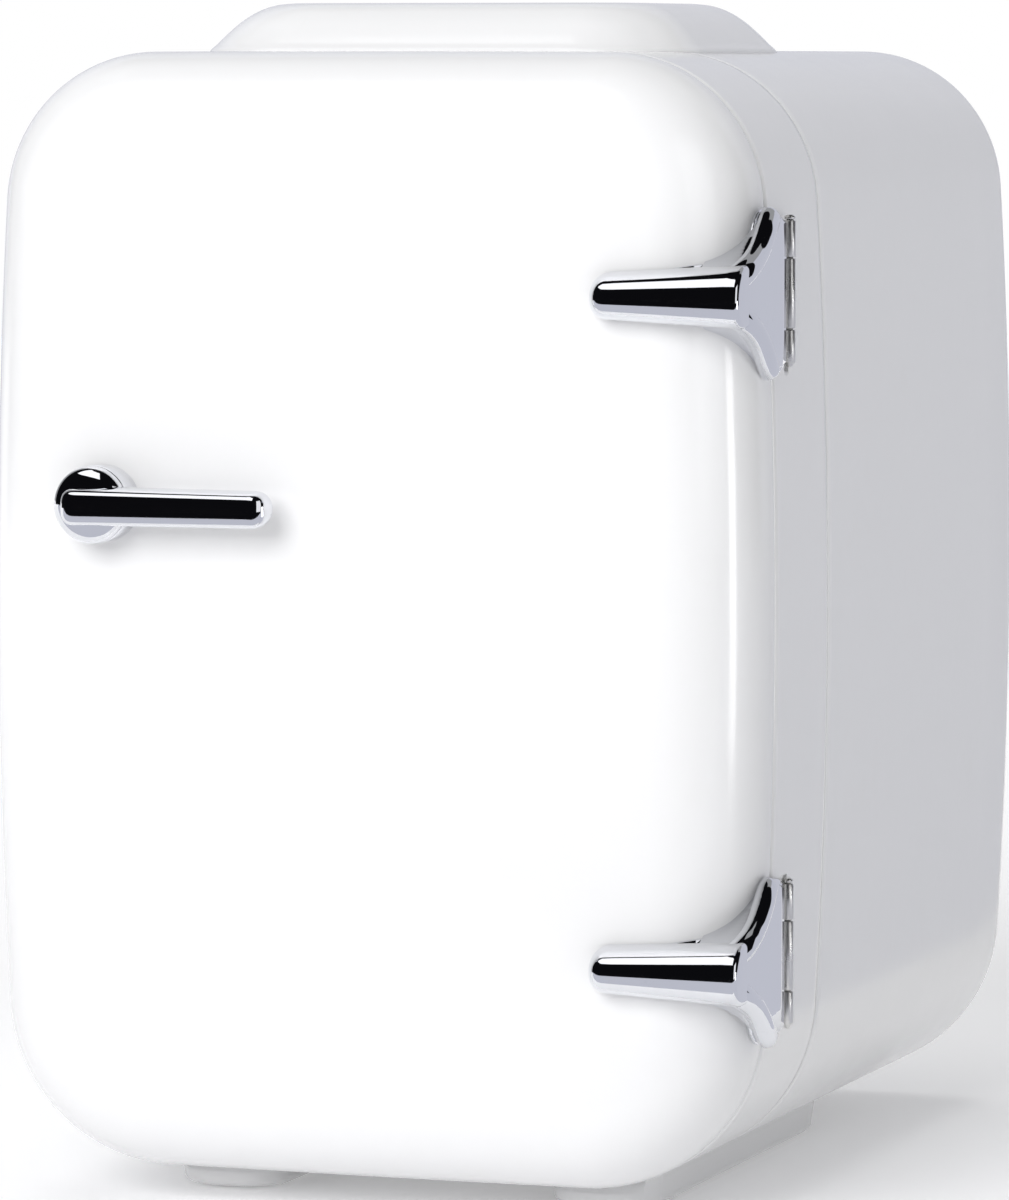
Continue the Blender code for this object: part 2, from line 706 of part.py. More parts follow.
def rear_cover():
    """The rear panel, with louvres over the fan and openings for sockets, switch and lamps."""
    inset = REAR_EDGE + GAP
    rings = [
        body_ring(REAR_PLANE - 2.4 * MM, inset),
        body_ring(REAR_PLANE - 0.5 * MM, inset),
        body_ring(REAR_PLANE, inset + 0.5 * MM),
    ]
    cover = loft("rear_cover", rings, WHITE, smooth=False)
    slots = 9
    pitch = 7.4 * MM
    reach = 36 * MM
    for i in range(slots):
        dz = (i - (slots - 1) / 2) * pitch
        half = math.sqrt(reach**2 - dz**2)
        low = (-half, REAR_PLANE - 4 * MM, COOLER_Z + dz - 1.6 * MM)
        high = (half, REAR_PLANE + MM, COOLER_Z + dz + 1.6 * MM)
        cut(cover, block(f"louvre_shape_{i}", low, high, WHITE))
    for name, (x, half_x, half_z) in PANEL_CUTOUTS.items():
        low = (x - half_x - GAP, REAR_PLANE - 4 * MM, SOCKET_Z - half_z - GAP)
        high = (x + half_x + GAP, REAR_PLANE + MM, SOCKET_Z + half_z + GAP)
        cut(cover, block(name + "_cutout_shape", low, high, WHITE))
    for name, (x, z) in INDICATORS.items():
        cut(cover, rod(name + "_hole_shape", (x, REAR_PLANE - 4 * MM, z), (x, REAR_PLANE + MM, z),
                       1.5 * MM + GAP, WHITE, 16))
    for number, (x, z) in enumerate(COVER_SCREWS):
        cut(cover, rod(f"cover_screw_hole_{number}", (x, REAR_PLANE - 4 * MM, z), (x, REAR_PLANE + MM, z),
                       1.8 * MM, WHITE, 12))


def cover_screws():
    for number, (x, z) in enumerate(COVER_SCREWS):
        screw = rod(f"cover_screw_{number + 1}", (x, REAR_PLANE + GAP, z), (x, REAR_PLANE + 1.6 * MM, z),
                    3.2 * MM, STEEL, 20, end_radius=2.4 * MM)
        shank = rod(f"cover_shank_shape_{number}", (x, REAR_PLANE - 9 * MM, z), (x, REAR_PLANE + MM, z),
                    1.5 * MM, STEEL, 12)
        join(screw, shank)
        slot = Vector((2.2 * MM, 0.8 * MM, 0.35 * MM))
        middle = Vector((x, REAR_PLANE + 1.6 * MM, z))
        cut(screw, block(f"cover_slot_shape_{number}", middle - slot, middle + slot, STEEL))


def panel_parts():
    """Mains inlet, low-voltage inlet, mode switch and indicator lenses on the rear panel."""
    front = REAR_PLANE - 16 * MM
    x, half_x, half_z = PANEL_CUTOUTS["ac_inlet"]
    inlet = block("ac_inlet", (x - half_x, front, SOCKET_Z - half_z), (x + half_x, REAR_PLANE, SOCKET_Z + half_z),
                  BLACK_PLASTIC, 0.6 * MM)
    well_low = (x - half_x + 2 * MM, front + 3 * MM, SOCKET_Z - half_z + 2 * MM)
    well_high = (x + half_x - 2 * MM, REAR_PLANE + MM, SOCKET_Z + half_z - 2 * MM)
    cut(inlet, block("ac_well_shape", well_low, well_high, BLACK_PLASTIC))
    for side, sign in (("left", -1), ("right", 1)):
        start = Vector((x + sign * 4.3 * MM, front - 2 * MM, SOCKET_Z))
        end = Vector((start.x, REAR_PLANE - 3 * MM, SOCKET_Z))
        rod("mains_pin_" + side, start, end, 1.15 * MM, STEEL, 12)
        cut(inlet, rod("mains_pin_hole_shape_" + side, start, end, 1.15 * MM + GAP, STEEL, 12))
    x, half_x, half_z = PANEL_CUTOUTS["dc_inlet"]
    socket = block("dc_inlet", (x - half_x, front, SOCKET_Z - half_z), (x + half_x, REAR_PLANE, SOCKET_Z + half_z),
                   BLACK_PLASTIC, 0.6 * MM)
    cut(socket, rod("dc_well_shape", (x, front + 3 * MM, SOCKET_Z), (x, REAR_PLANE + MM, SOCKET_Z),
                    3.6 * MM, BLACK_PLASTIC, 24))
    join(socket, rod("dc_pin_shape", (x, front + 2 * MM, SOCKET_Z), (x, REAR_PLANE - 3 * MM, SOCKET_Z),
                     1.1 * MM, STEEL, 12))
    for name, (lamp_x, lamp_z) in INDICATORS.items():
        lens = rod(name, (lamp_x, REAR_PLANE - 6 * MM, lamp_z), (lamp_x, REAR_PLANE + 0.5 * MM, lamp_z),
                   1.5 * MM, LENSES[name], 16)
        round_edges(lens, 0.3 * MM)


def mode_switch():
    """The switch body and its rocker, which tips both ways from a middle off position."""
    x, half_x, half_z = PANEL_CUTOUTS["switch"]
    front = REAR_PLANE - 13 * MM
    body = block("switch_housing", (x - half_x, front, SOCKET_Z - half_z),
                 (x + half_x, REAR_PLANE, SOCKET_Z + half_z), BLACK_PLASTIC)
    wall = 1.4 * MM
    well_low = (x - half_x + wall, REAR_PLANE - 6 * MM, SOCKET_Z - half_z + wall)
    well_high = (x + half_x - wall, REAR_PLANE + MM, SOCKET_Z + half_z - wall)
    cut(body, block("switch_well_shape", well_low, well_high, BLACK_PLASTIC))
    play = 0.5 * MM
    rocker = block(
        "switch_rocker",
        (x - half_x + wall + play, REAR_PLANE - 2.6 * MM, SOCKET_Z - half_z + wall + play),
        (x + half_x - wall - play, REAR_PLANE + 1.2 * MM, SOCKET_Z + half_z - wall - play),
        SWITCH_GREY,
        0.5 * MM,
    )
    return body, rocker


def control_board():
    """The circuit board with its capacitor, transformer and connector."""
    rear = 97 * MM
    board = block("control_board", (-52 * MM, rear - 1.6 * MM, 32 * MM), (52 * MM, rear, 92 * MM), BOARD_GREEN)
    parts = {
        "transformer": ((-30 * MM, 70 * MM), (11 * MM, 10 * MM), -9 * MM),
        "connector": ((10 * MM, 80 * MM), (8 * MM, 4 * MM), -8 * MM),
        "relay": ((36 * MM, 50 * MM), (8 * MM, 9 * MM), -9 * MM),
    }
    for name, ((x, z), (half_x, half_z), depth) in parts.items():
        low = (x - half_x, rear - 1.6 * MM + depth, z - half_z)
        high = (x + half_x, rear - MM, z + half_z)
        join(board, block("board_shape_" + name, low, high, BOARD_GREEN))


def top_housing():
    """The raised moulding on top of the body, with a pocket and bearing holes for the carry handle."""
    profile = (
        (59, 49.5, 250),
        (58, 48.5, 255),
        (55.6, 46.1, 259),
        (51.8, 42.3, 262.2),
        (47.4, 37.9, 264.2),
        (43, 33.5, 265),
    )
    rings = []
    for half_x, half_y, height in profile:
        rings.append(flat_ring(half_x * MM, half_y * MM, (half_x - 36) * MM, height * MM, HOUSING_CENTRE_Y))
    housing = loft("top_housing", rings, WHITE)
    envelope = body_solid("housing_seat_shape", DOOR_REAR, 60 * MM, -GAP, WHITE)
    cut(housing, envelope)
    pocket_rings = []
    for z in (POCKET_FLOOR, HOUSING_TOP + MM):
        pocket_rings.append(flat_ring(*POCKET_HALF, 4 * MM, z, HOUSING_CENTRE_Y))
    cut(housing, loft("housing_pocket_shape", pocket_rings, WHITE, smooth=False))
    hole_reach = Vector((POCKET_HALF[0] + 3 * MM, 0, 0))
    cut(housing, rod("housing_bearing_shape", BAIL_AXIS - hole_reach, BAIL_AXIS + hole_reach, 2 * MM + GAP,
                     WHITE, 20))


def carry_handle():
    """A bail: two arms on stub pins, and the grip between them, folded forward into the pocket."""
    half = BAIL_SIDE / 2
    low_z = BAIL_AXIS.z - half
    high_z = BAIL_AXIS.z + half
    front = BAIL_AXIS.y - BAIL_REACH
    rear = BAIL_AXIS.y + half
    outer = BAIL_HALF_WIDTH + half
    inner = BAIL_HALF_WIDTH - half
    outline = [(outer, rear), (inner, rear), (inner, front + BAIL_SIDE)]
    outline += [(-x, y) for x, y in reversed(outline)]
    outline += [(-outer, front), (outer, front)]
    bail = prism("carry_handle", outline, low_z, high_z, WHITE)
    bail.location = BAIL_AXIS
    bail.data.transform(Matrix.Translation(-BAIL_AXIS))
    round_edges(bail, 1 * MM)
    for side in (-1, 1):
        start = BAIL_AXIS + Vector((side * (outer - MM), 0, 0))
        end = BAIL_AXIS + Vector((side * (POCKET_HALF[0] + 2.4 * MM), 0, 0))
        join(bail, rod(f"bail_stub_shape_{side}", start, end, 2 * MM, WHITE, 16))
    return bail


def feet():
    """Two long feet, trimmed to the curved underside, each on two rubber pads."""
    half_y = (SKID_Y[1] - SKID_Y[0]) / 2
    centre_y = (SKID_Y[1] + SKID_Y[0]) / 2
    skid_profile = ((10.6, 0, SKID_BOTTOM), (12.2, 2, SKID_BOTTOM + 2 * MM), (13.4, 5, 12 * MM))
    for side, centre_x in SKID_CENTRES.items():
        rings = []
        for half_x, extra, z in skid_profile:
            length = half_y - 5 * MM + extra * MM
            rings.append(flat_ring(half_x * MM, length, 8 * MM, z, centre_y, centre_x))
        skid = loft("foot_skid_" + side, rings, WHITE, smooth=False)
        envelope = body_solid("skid_seat_shape_" + side, DOOR_REAR - MM, 80 * MM, -GAP, WHITE)
        cut(skid, envelope)
        for end, y in (("front", SKID_Y[0] + 17 * MM), ("rear", SKID_Y[1] - 17 * MM)):
            name = f"foot_pad_{end}_{side}"
            pad_half = (5 * MM, 8 * MM)
            rings = [flat_ring(*pad_half, 3 * MM, z, y, centre_x) for z in (0, PAD_TOP)]
            loft(name, rings, RUBBER_BLACK, smooth=False)
            recess_half = (pad_half[0] + GAP, pad_half[1] + GAP)
            rings = [flat_ring(*recess_half, 3 * MM + GAP, z, y, centre_x) for z in (-MM, PAD_TOP + GAP)]
            cut(skid, loft(name + "_recess_shape", rings, WHITE, smooth=False))


def strike_plate():
    low = (MAGNET_X[0], COLLAR_FRONT + WALL + GAP, BODY_CENTRE_Z - 15 * MM)
    high = (MAGNET_X[1], COLLAR_FRONT + WALL + 1.7 * MM, BODY_CENTRE_Z + 15 * MM)
    block("strike_plate", low, high, STEEL)


def build_door():
    front = door_front_shell()
    base, bar, screws, holes = door_handle()
    cut(front, *holes)
    pieces = [front, base, bar, *screws, *door_insides()]
    for place in HINGE_HEIGHTS:
        strap, screw, hole = hinge_strap(place)
        cut(front, hole)
        pieces += [strap, screw]
    hang(pivot("door_axis", HINGE_AXIS), pieces)


def build_cabinet():
    collar = cabinet_collar()
    foam = cabinet_foam()
    for place in HINGE_HEIGHTS:
        pocket = leaf_pocket("leaf_pocket_shape_" + place, place)
        cut(collar, pocket, barrel_recess("barrel_recess_shape_" + place, place))
        cut(foam, pocket)
        hinge_leaf(place)
        hinge_pin(place)
    cabinet_shell()
    inner_liner()
    shelf()
    strike_plate()
    feet()
    top_housing()


def build_rear():
    cooling_stack()
    rotor = fan()[1]
    rear_cover()
    cover_screws()
    panel_parts()
    rocker = mode_switch()[1]
    control_board()
    hang(pivot("fan_axis", ROTOR_CENTRE), [rotor])
    hang(pivot("switch_axis", SWITCH_CENTRE), [rocker])


SHELF_Z = BODY_CENTRE_Z - 6 * MM
SHELF_FRONT = -64 * MM

# Centre x and half sizes of what shows through the rear cover, all at the height SOCKET_Z.
PANEL_CUTOUTS = {
    "ac_inlet": (-34 * MM, 11 * MM, 7 * MM),
    "switch": (SWITCH_CENTRE.x, 7 * MM, 10 * MM),
    "dc_inlet": (30 * MM, 7 * MM, 7 * MM),
}
INDICATORS = {
    "indicator_cold": (-14 * MM, SOCKET_Z + 6 * MM),
    "indicator_warm": (-14 * MM, SOCKET_Z - 6 * MM),
}
COVER_SCREWS = [(x * MM, z * MM) for x in (-62, 62) for z in (40, 222)]

WHITE = material("gloss white plastic", (0.87, 0.87, 0.88), 0.14)
LINER_GREY = material("liner plastic", (0.78, 0.79, 0.8), 0.35)
SHELF_PLASTIC = material("shelf plastic", (0.8, 0.82, 0.84), 0.2)
CHROME = material("chrome", (0.82, 0.82, 0.84), 0.06, 1)
STEEL = material("steel", (0.55, 0.55, 0.56), 0.3, 1)
ALUMINIUM = material("aluminium", (0.72, 0.73, 0.74), 0.4, 1)
FOAM = material("insulation foam", (0.85, 0.8, 0.66), 0.9)
RUBBER_GREY = material("gasket rubber", (0.35, 0.35, 0.36), 0.6)
RUBBER_BLACK = material("foot rubber", (0.03, 0.03, 0.03), 0.8)
BLACK_PLASTIC = material("black plastic", (0.02, 0.02, 0.022), 0.45)
SWITCH_GREY = material("switch plastic", (0.2, 0.2, 0.21), 0.4)
CERAMIC = material("ceramic", (0.88, 0.87, 0.84), 0.5)
BOARD_GREEN = material("circuit board", (0.04, 0.22, 0.09), 0.4)
LENSES = {
    "indicator_cold": material("green lens", (0.05, 0.6, 0.15), 0.15),
    "indicator_warm": material("red lens", (0.7, 0.05, 0.03), 0.15),
}


def main():
    clear_scene()
    build_door()
    build_cabinet()
    build_rear()
    hang(pivot("carry_handle_axis", BAIL_AXIS), [carry_handle()])


main()
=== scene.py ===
"""Studio scene of a retro mini fridge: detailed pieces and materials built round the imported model."""

import json
import math

import bmesh
import bpy
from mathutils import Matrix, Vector


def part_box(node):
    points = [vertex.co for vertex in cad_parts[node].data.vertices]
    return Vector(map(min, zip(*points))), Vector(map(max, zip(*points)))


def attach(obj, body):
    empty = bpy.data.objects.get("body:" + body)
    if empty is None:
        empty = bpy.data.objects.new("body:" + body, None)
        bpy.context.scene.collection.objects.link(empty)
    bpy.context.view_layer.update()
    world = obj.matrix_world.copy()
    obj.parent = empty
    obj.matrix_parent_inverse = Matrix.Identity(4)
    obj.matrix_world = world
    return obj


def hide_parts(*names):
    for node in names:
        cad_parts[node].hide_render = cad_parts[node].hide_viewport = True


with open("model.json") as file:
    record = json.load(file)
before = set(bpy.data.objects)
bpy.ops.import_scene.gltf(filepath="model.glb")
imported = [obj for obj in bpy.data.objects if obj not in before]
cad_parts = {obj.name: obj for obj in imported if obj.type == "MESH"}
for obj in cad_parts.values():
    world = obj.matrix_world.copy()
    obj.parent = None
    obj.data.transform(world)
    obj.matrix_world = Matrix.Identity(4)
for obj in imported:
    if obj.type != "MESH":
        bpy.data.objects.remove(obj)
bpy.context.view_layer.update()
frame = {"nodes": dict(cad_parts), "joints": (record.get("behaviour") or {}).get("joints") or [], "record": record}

MM = 0.001

# Body outline: crowned sides with arcs between them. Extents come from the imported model.
DOOR_LOW, DOOR_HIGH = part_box("door_front_shell")
COLLAR_LOW, COLLAR_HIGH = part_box("cabinet_front_collar")
SHELL_LOW, SHELL_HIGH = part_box("cabinet_shell")
HALF_WIDTH = DOOR_HIGH.x
HALF_HEIGHT = (DOOR_HIGH.z - DOOR_LOW.z) / 2
CENTRE_Z = (DOOR_HIGH.z + DOOR_LOW.z) / 2
SIDE_RADIUS = 1500 * MM
TOP_RADIUS = 9000 * MM
TOP_CORNER = 34 * MM
BOTTOM_CORNER = 38.5 * MM
WALL = 2.5 * MM
DOOR_FRONT = DOOR_LOW.y
DOOR_REAR = DOOR_HIGH.y + 0.2 * MM
COLLAR_FRONT = COLLAR_LOW.y - 0.25 * MM
EDGE_END = -84 * MM
EDGE_WIDTH = 21.5 * MM
FACE_CROWN = 1.2 * MM
EDGE_DEPTH = EDGE_END - DOOR_FRONT - FACE_CROWN
LINER_OPENING = 20 * MM
POINT_SCALE = 0.02
JOINT_POINTS = {joint["name"]: Vector(joint["pos_m"]) for joint in frame["joints"]}
HINGE = JOINT_POINTS["door_hinge"]
HANDLE_AXIS = JOINT_POINTS["carry_handle_fold"]
UP = (0, 0, 1)
TO_FRONT = (0, -1, 0)
TO_RIGHT = (1, 0, 0)

# Studio and camera, in metres, with the lens in millimetres. The camera turns about CAMERA_PIVOT.
BLACK = (0.004, 0.004, 0.005)
GREY = (0.6, 0.61, 0.68)
DOME_CENTRE = 0.14
LAMP_AIM = Vector((0, -0.02, 0.14))
CAMERA_PIVOT = Vector((0, 0.007, 0.2545))
CAMERA_TURN = math.radians(19.5)
CAMERA_DROP = math.radians(4.5332)
CAMERA_DISTANCE = 1.6
CAMERA_SIDESTEP = -0.0036
CAMERA_LENS = 208.1


# ---------------------------------------------------------------- materials


class Surface:
    """A Principled material whose nodes are added one at a time."""

    def __init__(self, name, colour, roughness, metallic=0.0):
        self.material = bpy.data.materials.new(name)
        self.material.use_nodes = True
        self.tree = self.material.node_tree
        self.shader = self.tree.nodes["Principled BSDF"]
        self.shader.inputs["Base Color"].default_value = (*colour, 1)
        self.shader.inputs["Roughness"].default_value = roughness
        self.shader.inputs["Metallic"].default_value = metallic
        self.colour = colour
        self.roughness = roughness
        self.height = None
        self.position = self.tree.nodes.new("ShaderNodeTexCoord").outputs["Object"]

    def node(self, kind, **settings):
        made = self.tree.nodes.new(kind)
        for key, value in settings.items():
            setattr(made, key, value)
        return made

    def link(self, output, target):
        self.tree.links.new(output, target)

    def stretched(self, scale):
        mapping = self.node("ShaderNodeMapping")
        mapping.inputs["Scale"].default_value = scale
        self.link(self.position, mapping.inputs["Vector"])
        return mapping.outputs["Vector"]

    def noise(self, scale, detail, stretch=None):
        made = self.node("ShaderNodeTexNoise")
        made.inputs["Scale"].default_value = scale
        made.inputs["Detail"].default_value = detail
        self.link(self.stretched(stretch) if stretch else self.position, made.inputs["Vector"])
        return made.outputs["Fac"]

    def cells(self, scale, feature="F1"):
        made = self.node("ShaderNodeTexVoronoi", feature=feature)
        made.inputs["Scale"].default_value = scale
        self.link(self.position, made.inputs["Vector"])
        return made.outputs["Distance"]

    def ramp(self, value, low, high, to_low=0.0, to_high=1.0):
        made = self.node("ShaderNodeMapRange")
        made.inputs["From Min"].default_value = low
        made.inputs["From Max"].default_value = high
        made.inputs["To Min"].default_value = to_low
        made.inputs["To Max"].default_value = to_high
        self.link(value, made.inputs["Value"])
        return made.outputs["Result"]

    def tint(self, mask, colour):
        """Mixes a second colour in where the mask is 1."""
        mix = self.node("ShaderNodeMix", data_type="RGBA")
        mix.inputs["B"].default_value = (*colour, 1)
        target = self.shader.inputs["Base Color"]
        if target.is_linked:
            self.link(target.links[0].from_socket, mix.inputs["A"])
        else:
            mix.inputs["A"].default_value = target.default_value
        self.link(mask, mix.inputs["Factor"])
        self.link(mix.outputs["Result"], target)
        return self

    def mottle(self, scale, amount):
        """Slow light and dark variation of the colour."""
        mask = self.ramp(self.noise(scale, 4.0), 0.3, 0.7)
        return self.tint(mask, tuple(c * (1 - amount) for c in self.colour))

    def vary_roughness(self, scale, amount):
        low = max(self.roughness - amount, 0.01)
        value = self.ramp(self.noise(scale, 5.0), 0.25, 0.75, low, self.roughness + amount)
        self.link(value, self.shader.inputs["Roughness"])
        return self

    def stain(self, scale, detail, low, high, amount, colour):
        """Patches of a second colour where the noise lies between low and high."""
        return self.tint(self.ramp(self.noise(scale, detail), low, high, 0, amount), colour)

    def emboss(self, value, strength, distance):
        """Adds a bump on top of any earlier one."""
        bump = self.node("ShaderNodeBump")
        bump.inputs["Strength"].default_value = strength
        bump.inputs["Distance"].default_value = distance
        self.link(value, bump.inputs["Height"])
        if self.height is not None:
            self.link(self.height, bump.inputs["Normal"])
        self.height = bump.outputs["Normal"]
        self.link(self.height, self.shader.inputs["Normal"])
        return self

    def wear(self, colour):
        """Rubbed edges, broken up by noise."""
        pointed = self.node("ShaderNodeNewGeometry").outputs["Pointiness"]
        edge = self.ramp(pointed, 0.6, 0.75)
        patches = self.ramp(self.noise(900, 4.0), 0.45, 0.65)
        both = self.node("ShaderNodeMath", operation="MULTIPLY")
        self.link(edge, both.inputs[0])
        self.link(patches, both.inputs[1])
        return self.tint(both.outputs[0], colour)

    def set(self, **values):
        for key, value in values.items():
            self.shader.inputs[key.replace("_", " ")].default_value = value
        return self


def gloss_white():
    """Moulded gloss shell: orange peel, hairline polishing marks and a little handling haze."""
    made = Surface("gloss_white", (0.83, 0.83, 0.835), 0.17)
    made.mottle(9, 0.012).stain(60, 6.0, 0.62, 0.8, 0.25, (0.79, 0.785, 0.77))
    made.vary_roughness(38, 0.035)
    made.emboss(made.noise(240, 2.0), 0.05, 0.0002)
    made.emboss(made.noise(1800, 3.0), 0.02, 0.0001)
    made.emboss(made.ramp(made.noise(60, 8.0, (1, 1, 40)), 0.66, 0.7), 0.01, 0.00005)
    made.set(IOR=1.5, Coat_Weight=0.35, Coat_Roughness=0.08)
    return made


def liner_plastic():
    """Vacuum-formed liner: fine satin grain and slight draw lines."""
    made = Surface("liner_plastic", (0.74, 0.75, 0.76), 0.42)
    made.mottle(14, 0.03).vary_roughness(70, 0.07)
    made.emboss(made.noise(2600, 4.0), 0.12, 0.00015)
    made.emboss(made.noise(30, 2.0, (1, 6, 1)), 0.08, 0.0008)
    made.stain(45, 6.0, 0.64, 0.78, 0.35, (0.68, 0.68, 0.67))
    return made


def shelf_plastic():
    """Translucent grey-white shelf."""
    made = Surface("shelf_plastic", (0.72, 0.75, 0.78), 0.22)
    made.mottle(25, 0.04).vary_roughness(90, 0.06)
    made.emboss(made.noise(700, 3.0, (1, 8, 1)), 0.08, 0.0002)
    made.set(Transmission_Weight=0.25, IOR=1.49)
    return made


def foam():
    """Cut polyurethane foam: open cells and yellowed patches."""
    made = Surface("foam", (0.83, 0.77, 0.6), 0.95)
    made.mottle(18, 0.12)
    made.emboss(made.cells(900), 0.7, 0.0006)
    made.emboss(made.noise(160, 5.0), 0.4, 0.0015)
    return made


def gasket_rubber():
    """Soft grey gasket."""
    made = Surface("gasket_rubber", (0.36, 0.36, 0.37), 0.6)
    made.mottle(40, 0.1).vary_roughness(120, 0.1)
    made.emboss(made.noise(1500, 4.0), 0.2, 0.0002)
    made.stain(220, 6.0, 0.62, 0.75, 0.4, (0.5, 0.49, 0.47))
    return made


def foot_rubber():
    made = Surface("foot_rubber", (0.03, 0.03, 0.031), 0.75)
    made.mottle(60, 0.3).emboss(made.cells(1400), 0.35, 0.0003)
    made.stain(300, 6.0, 0.58, 0.75, 0.5, (0.16, 0.15, 0.14))
    return made


def chrome():
    """Bright plating over moulded plastic: slight waviness, hairlines and finger haze."""
    made = Surface("chrome", (0.80, 0.81, 0.84), 0.035, 1.0)
    made.mottle(30, 0.03).vary_roughness(110, 0.02)
    made.emboss(made.noise(90, 1.0), 0.03, 0.0004)
    made.emboss(made.ramp(made.noise(420, 9.0, (18, 1, 1)), 0.68, 0.72), 0.02, 0.00003)
    made.stain(500, 6.0, 0.66, 0.8, 0.3, (0.68, 0.69, 0.72))
    return made


def steel():
    """Zinc-plated steel, lightly brushed."""
    made = Surface("steel", (0.72, 0.715, 0.7), 0.32, 1.0)
    made.mottle(200, 0.08).vary_roughness(300, 0.08)
    made.emboss(made.noise(1500, 6.0, (1, 1, 14)), 0.04, 0.00005)
    made.stain(800, 6.0, 0.6, 0.78, 0.3, (0.5, 0.48, 0.45))
    return made


def aluminium():
    """Extruded aluminium with die lines."""
    made = Surface("aluminium", (0.72, 0.73, 0.74), 0.34, 1.0)
    made.mottle(60, 0.08).vary_roughness(180, 0.08)
    made.emboss(made.noise(900, 6.0, (12, 12, 0.6)), 0.2, 0.00015)
    return made


def ceramic():
    made = Surface("ceramic", (0.86, 0.85, 0.81), 0.55)
    made.mottle(300, 0.08).emboss(made.noise(3000, 4.0), 0.2, 0.00015)
    return made


def circuit_board():
    """Green solder mask with fine copper tracks showing through it."""
    made = Surface("circuit_board", (0.03, 0.2, 0.075), 0.35)
    tracks = made.ramp(made.cells(420, "DISTANCE_TO_EDGE"), 0.03, 0.06, 1, 0)
    made.tint(tracks, (0.10, 0.34, 0.12)).mottle(90, 0.2)
    made.emboss(tracks, 0.3, 0.0001)
    return made


def black_plastic():
    """Spark-textured black moulding."""
    made = Surface("black_plastic", (0.022, 0.022, 0.024), 0.48)
    made.mottle(70, 0.25).vary_roughness(150, 0.09)
    made.emboss(made.noise(3200, 5.0), 0.3, 0.0002)
    made.wear((0.09, 0.09, 0.09))
    made.stain(260, 7.0, 0.63, 0.78, 0.35, (0.10, 0.097, 0.09))
    return made


def switch_plastic():
    made = Surface("switch_plastic", (0.16, 0.16, 0.17), 0.35)
    made.mottle(150, 0.12).vary_roughness(260, 0.08)
    made.emboss(made.noise(2400, 4.0), 0.1, 0.0001)
    made.wear((0.24, 0.24, 0.24))
    return made


def lens(name, colour):
    made = Surface(name, colour, 0.15)
    made.mottle(500, 0.25).emboss(made.cells(1600), 0.2, 0.0002)
    made.set(Transmission_Weight=0.45, IOR=1.49)
    return made


SURFACES = {
    "gloss_white": gloss_white(),
    "liner_plastic": liner_plastic(),
    "shelf_plastic": shelf_plastic(),
    "foam": foam(),
    "gasket_rubber": gasket_rubber(),
    "foot_rubber": foot_rubber(),
    "chrome": chrome(),
    "steel": steel(),
    "aluminium": aluminium(),
    "ceramic": ceramic(),
    "circuit_board": circuit_board(),
    "black_plastic": black_plastic(),
    "switch_plastic": switch_plastic(),
    "green_lens": lens("green_lens", (0.04, 0.5, 0.13)),
    "red_lens": lens("red_lens", (0.62, 0.04, 0.03)),
}


# ---------------------------------------------------------------- mesh helpers


def add_piece(name, mesh_data, slot, body, stands_for=(), smooth=True):
    """Turns a bmesh into a piece with a material, riding on a body and standing for CAD nodes."""
    bmesh.ops.recalc_face_normals(mesh_data, faces=mesh_data.faces)
    mesh = bpy.data.meshes.new(name)
    mesh_data.to_mesh(mesh)
    mesh_data.free()
    mesh.polygons.foreach_set("use_smooth", [smooth] * len(mesh.polygons))
    mesh.materials.append(SURFACES[slot].material)
    obj = bpy.data.objects.new(name, mesh)
    bpy.context.scene.collection.objects.link(obj)
    if body:
        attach(obj, body)
    if stands_for:
        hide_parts(*stands_for)
    return obj


def add_loft(mesh_data, rings, closed=False, cap_start=True, cap_end=True):
    """Quads between rings of equal length. closed joins the last ring to the first."""
    rows = [[mesh_data.verts.new(point) for point in ring] for ring in rings]
    pairs = list(zip(rows, rows[1:]))
    if closed:
        pairs.append((rows[-1], rows[0]))
    for first, second in pairs:
        count = len(first)
        for i in range(count):
            j = (i + 1) % count
            mesh_data.faces.new((first[i], first[j], second[j], second[i]))
    if not closed and cap_start:
        mesh_data.faces.new(rows[0])
    if not closed and cap_end:
        mesh_data.faces.new(rows[-1])


def loft(name, rings, slot, body, stands_for, closed=False):
    mesh_data = bmesh.new()
    add_loft(mesh_data, rings, closed)
    return add_piece(name, mesh_data, slot, body, stands_for)


def cut_away(obj, cutters):
    """Cuts shapes out of a piece, keeps the result as its mesh and removes the shapes."""
    for cutter in cutters:
        modifier = obj.modifiers.new("cut", "BOOLEAN")
        modifier.operation = "DIFFERENCE"
        modifier.solver = "EXACT"
        modifier.object = cutter
    bpy.context.view_layer.update()
    evaluated = obj.evaluated_get(bpy.context.evaluated_depsgraph_get())
    cut = bpy.data.meshes.new_from_object(evaluated)
    obj.modifiers.clear()
    obj.data = cut
    for cutter in cutters:
        bpy.data.objects.remove(cutter, do_unlink=True)


def arc(centre, radius, start, end, steps):
    """Points along an arc, without its last point."""
    points = []
    for i in range(steps):
        angle = start + (end - start) * i / steps
        points.append((centre[0] + radius * math.cos(angle), centre[1] + radius * math.sin(angle)))
    return points


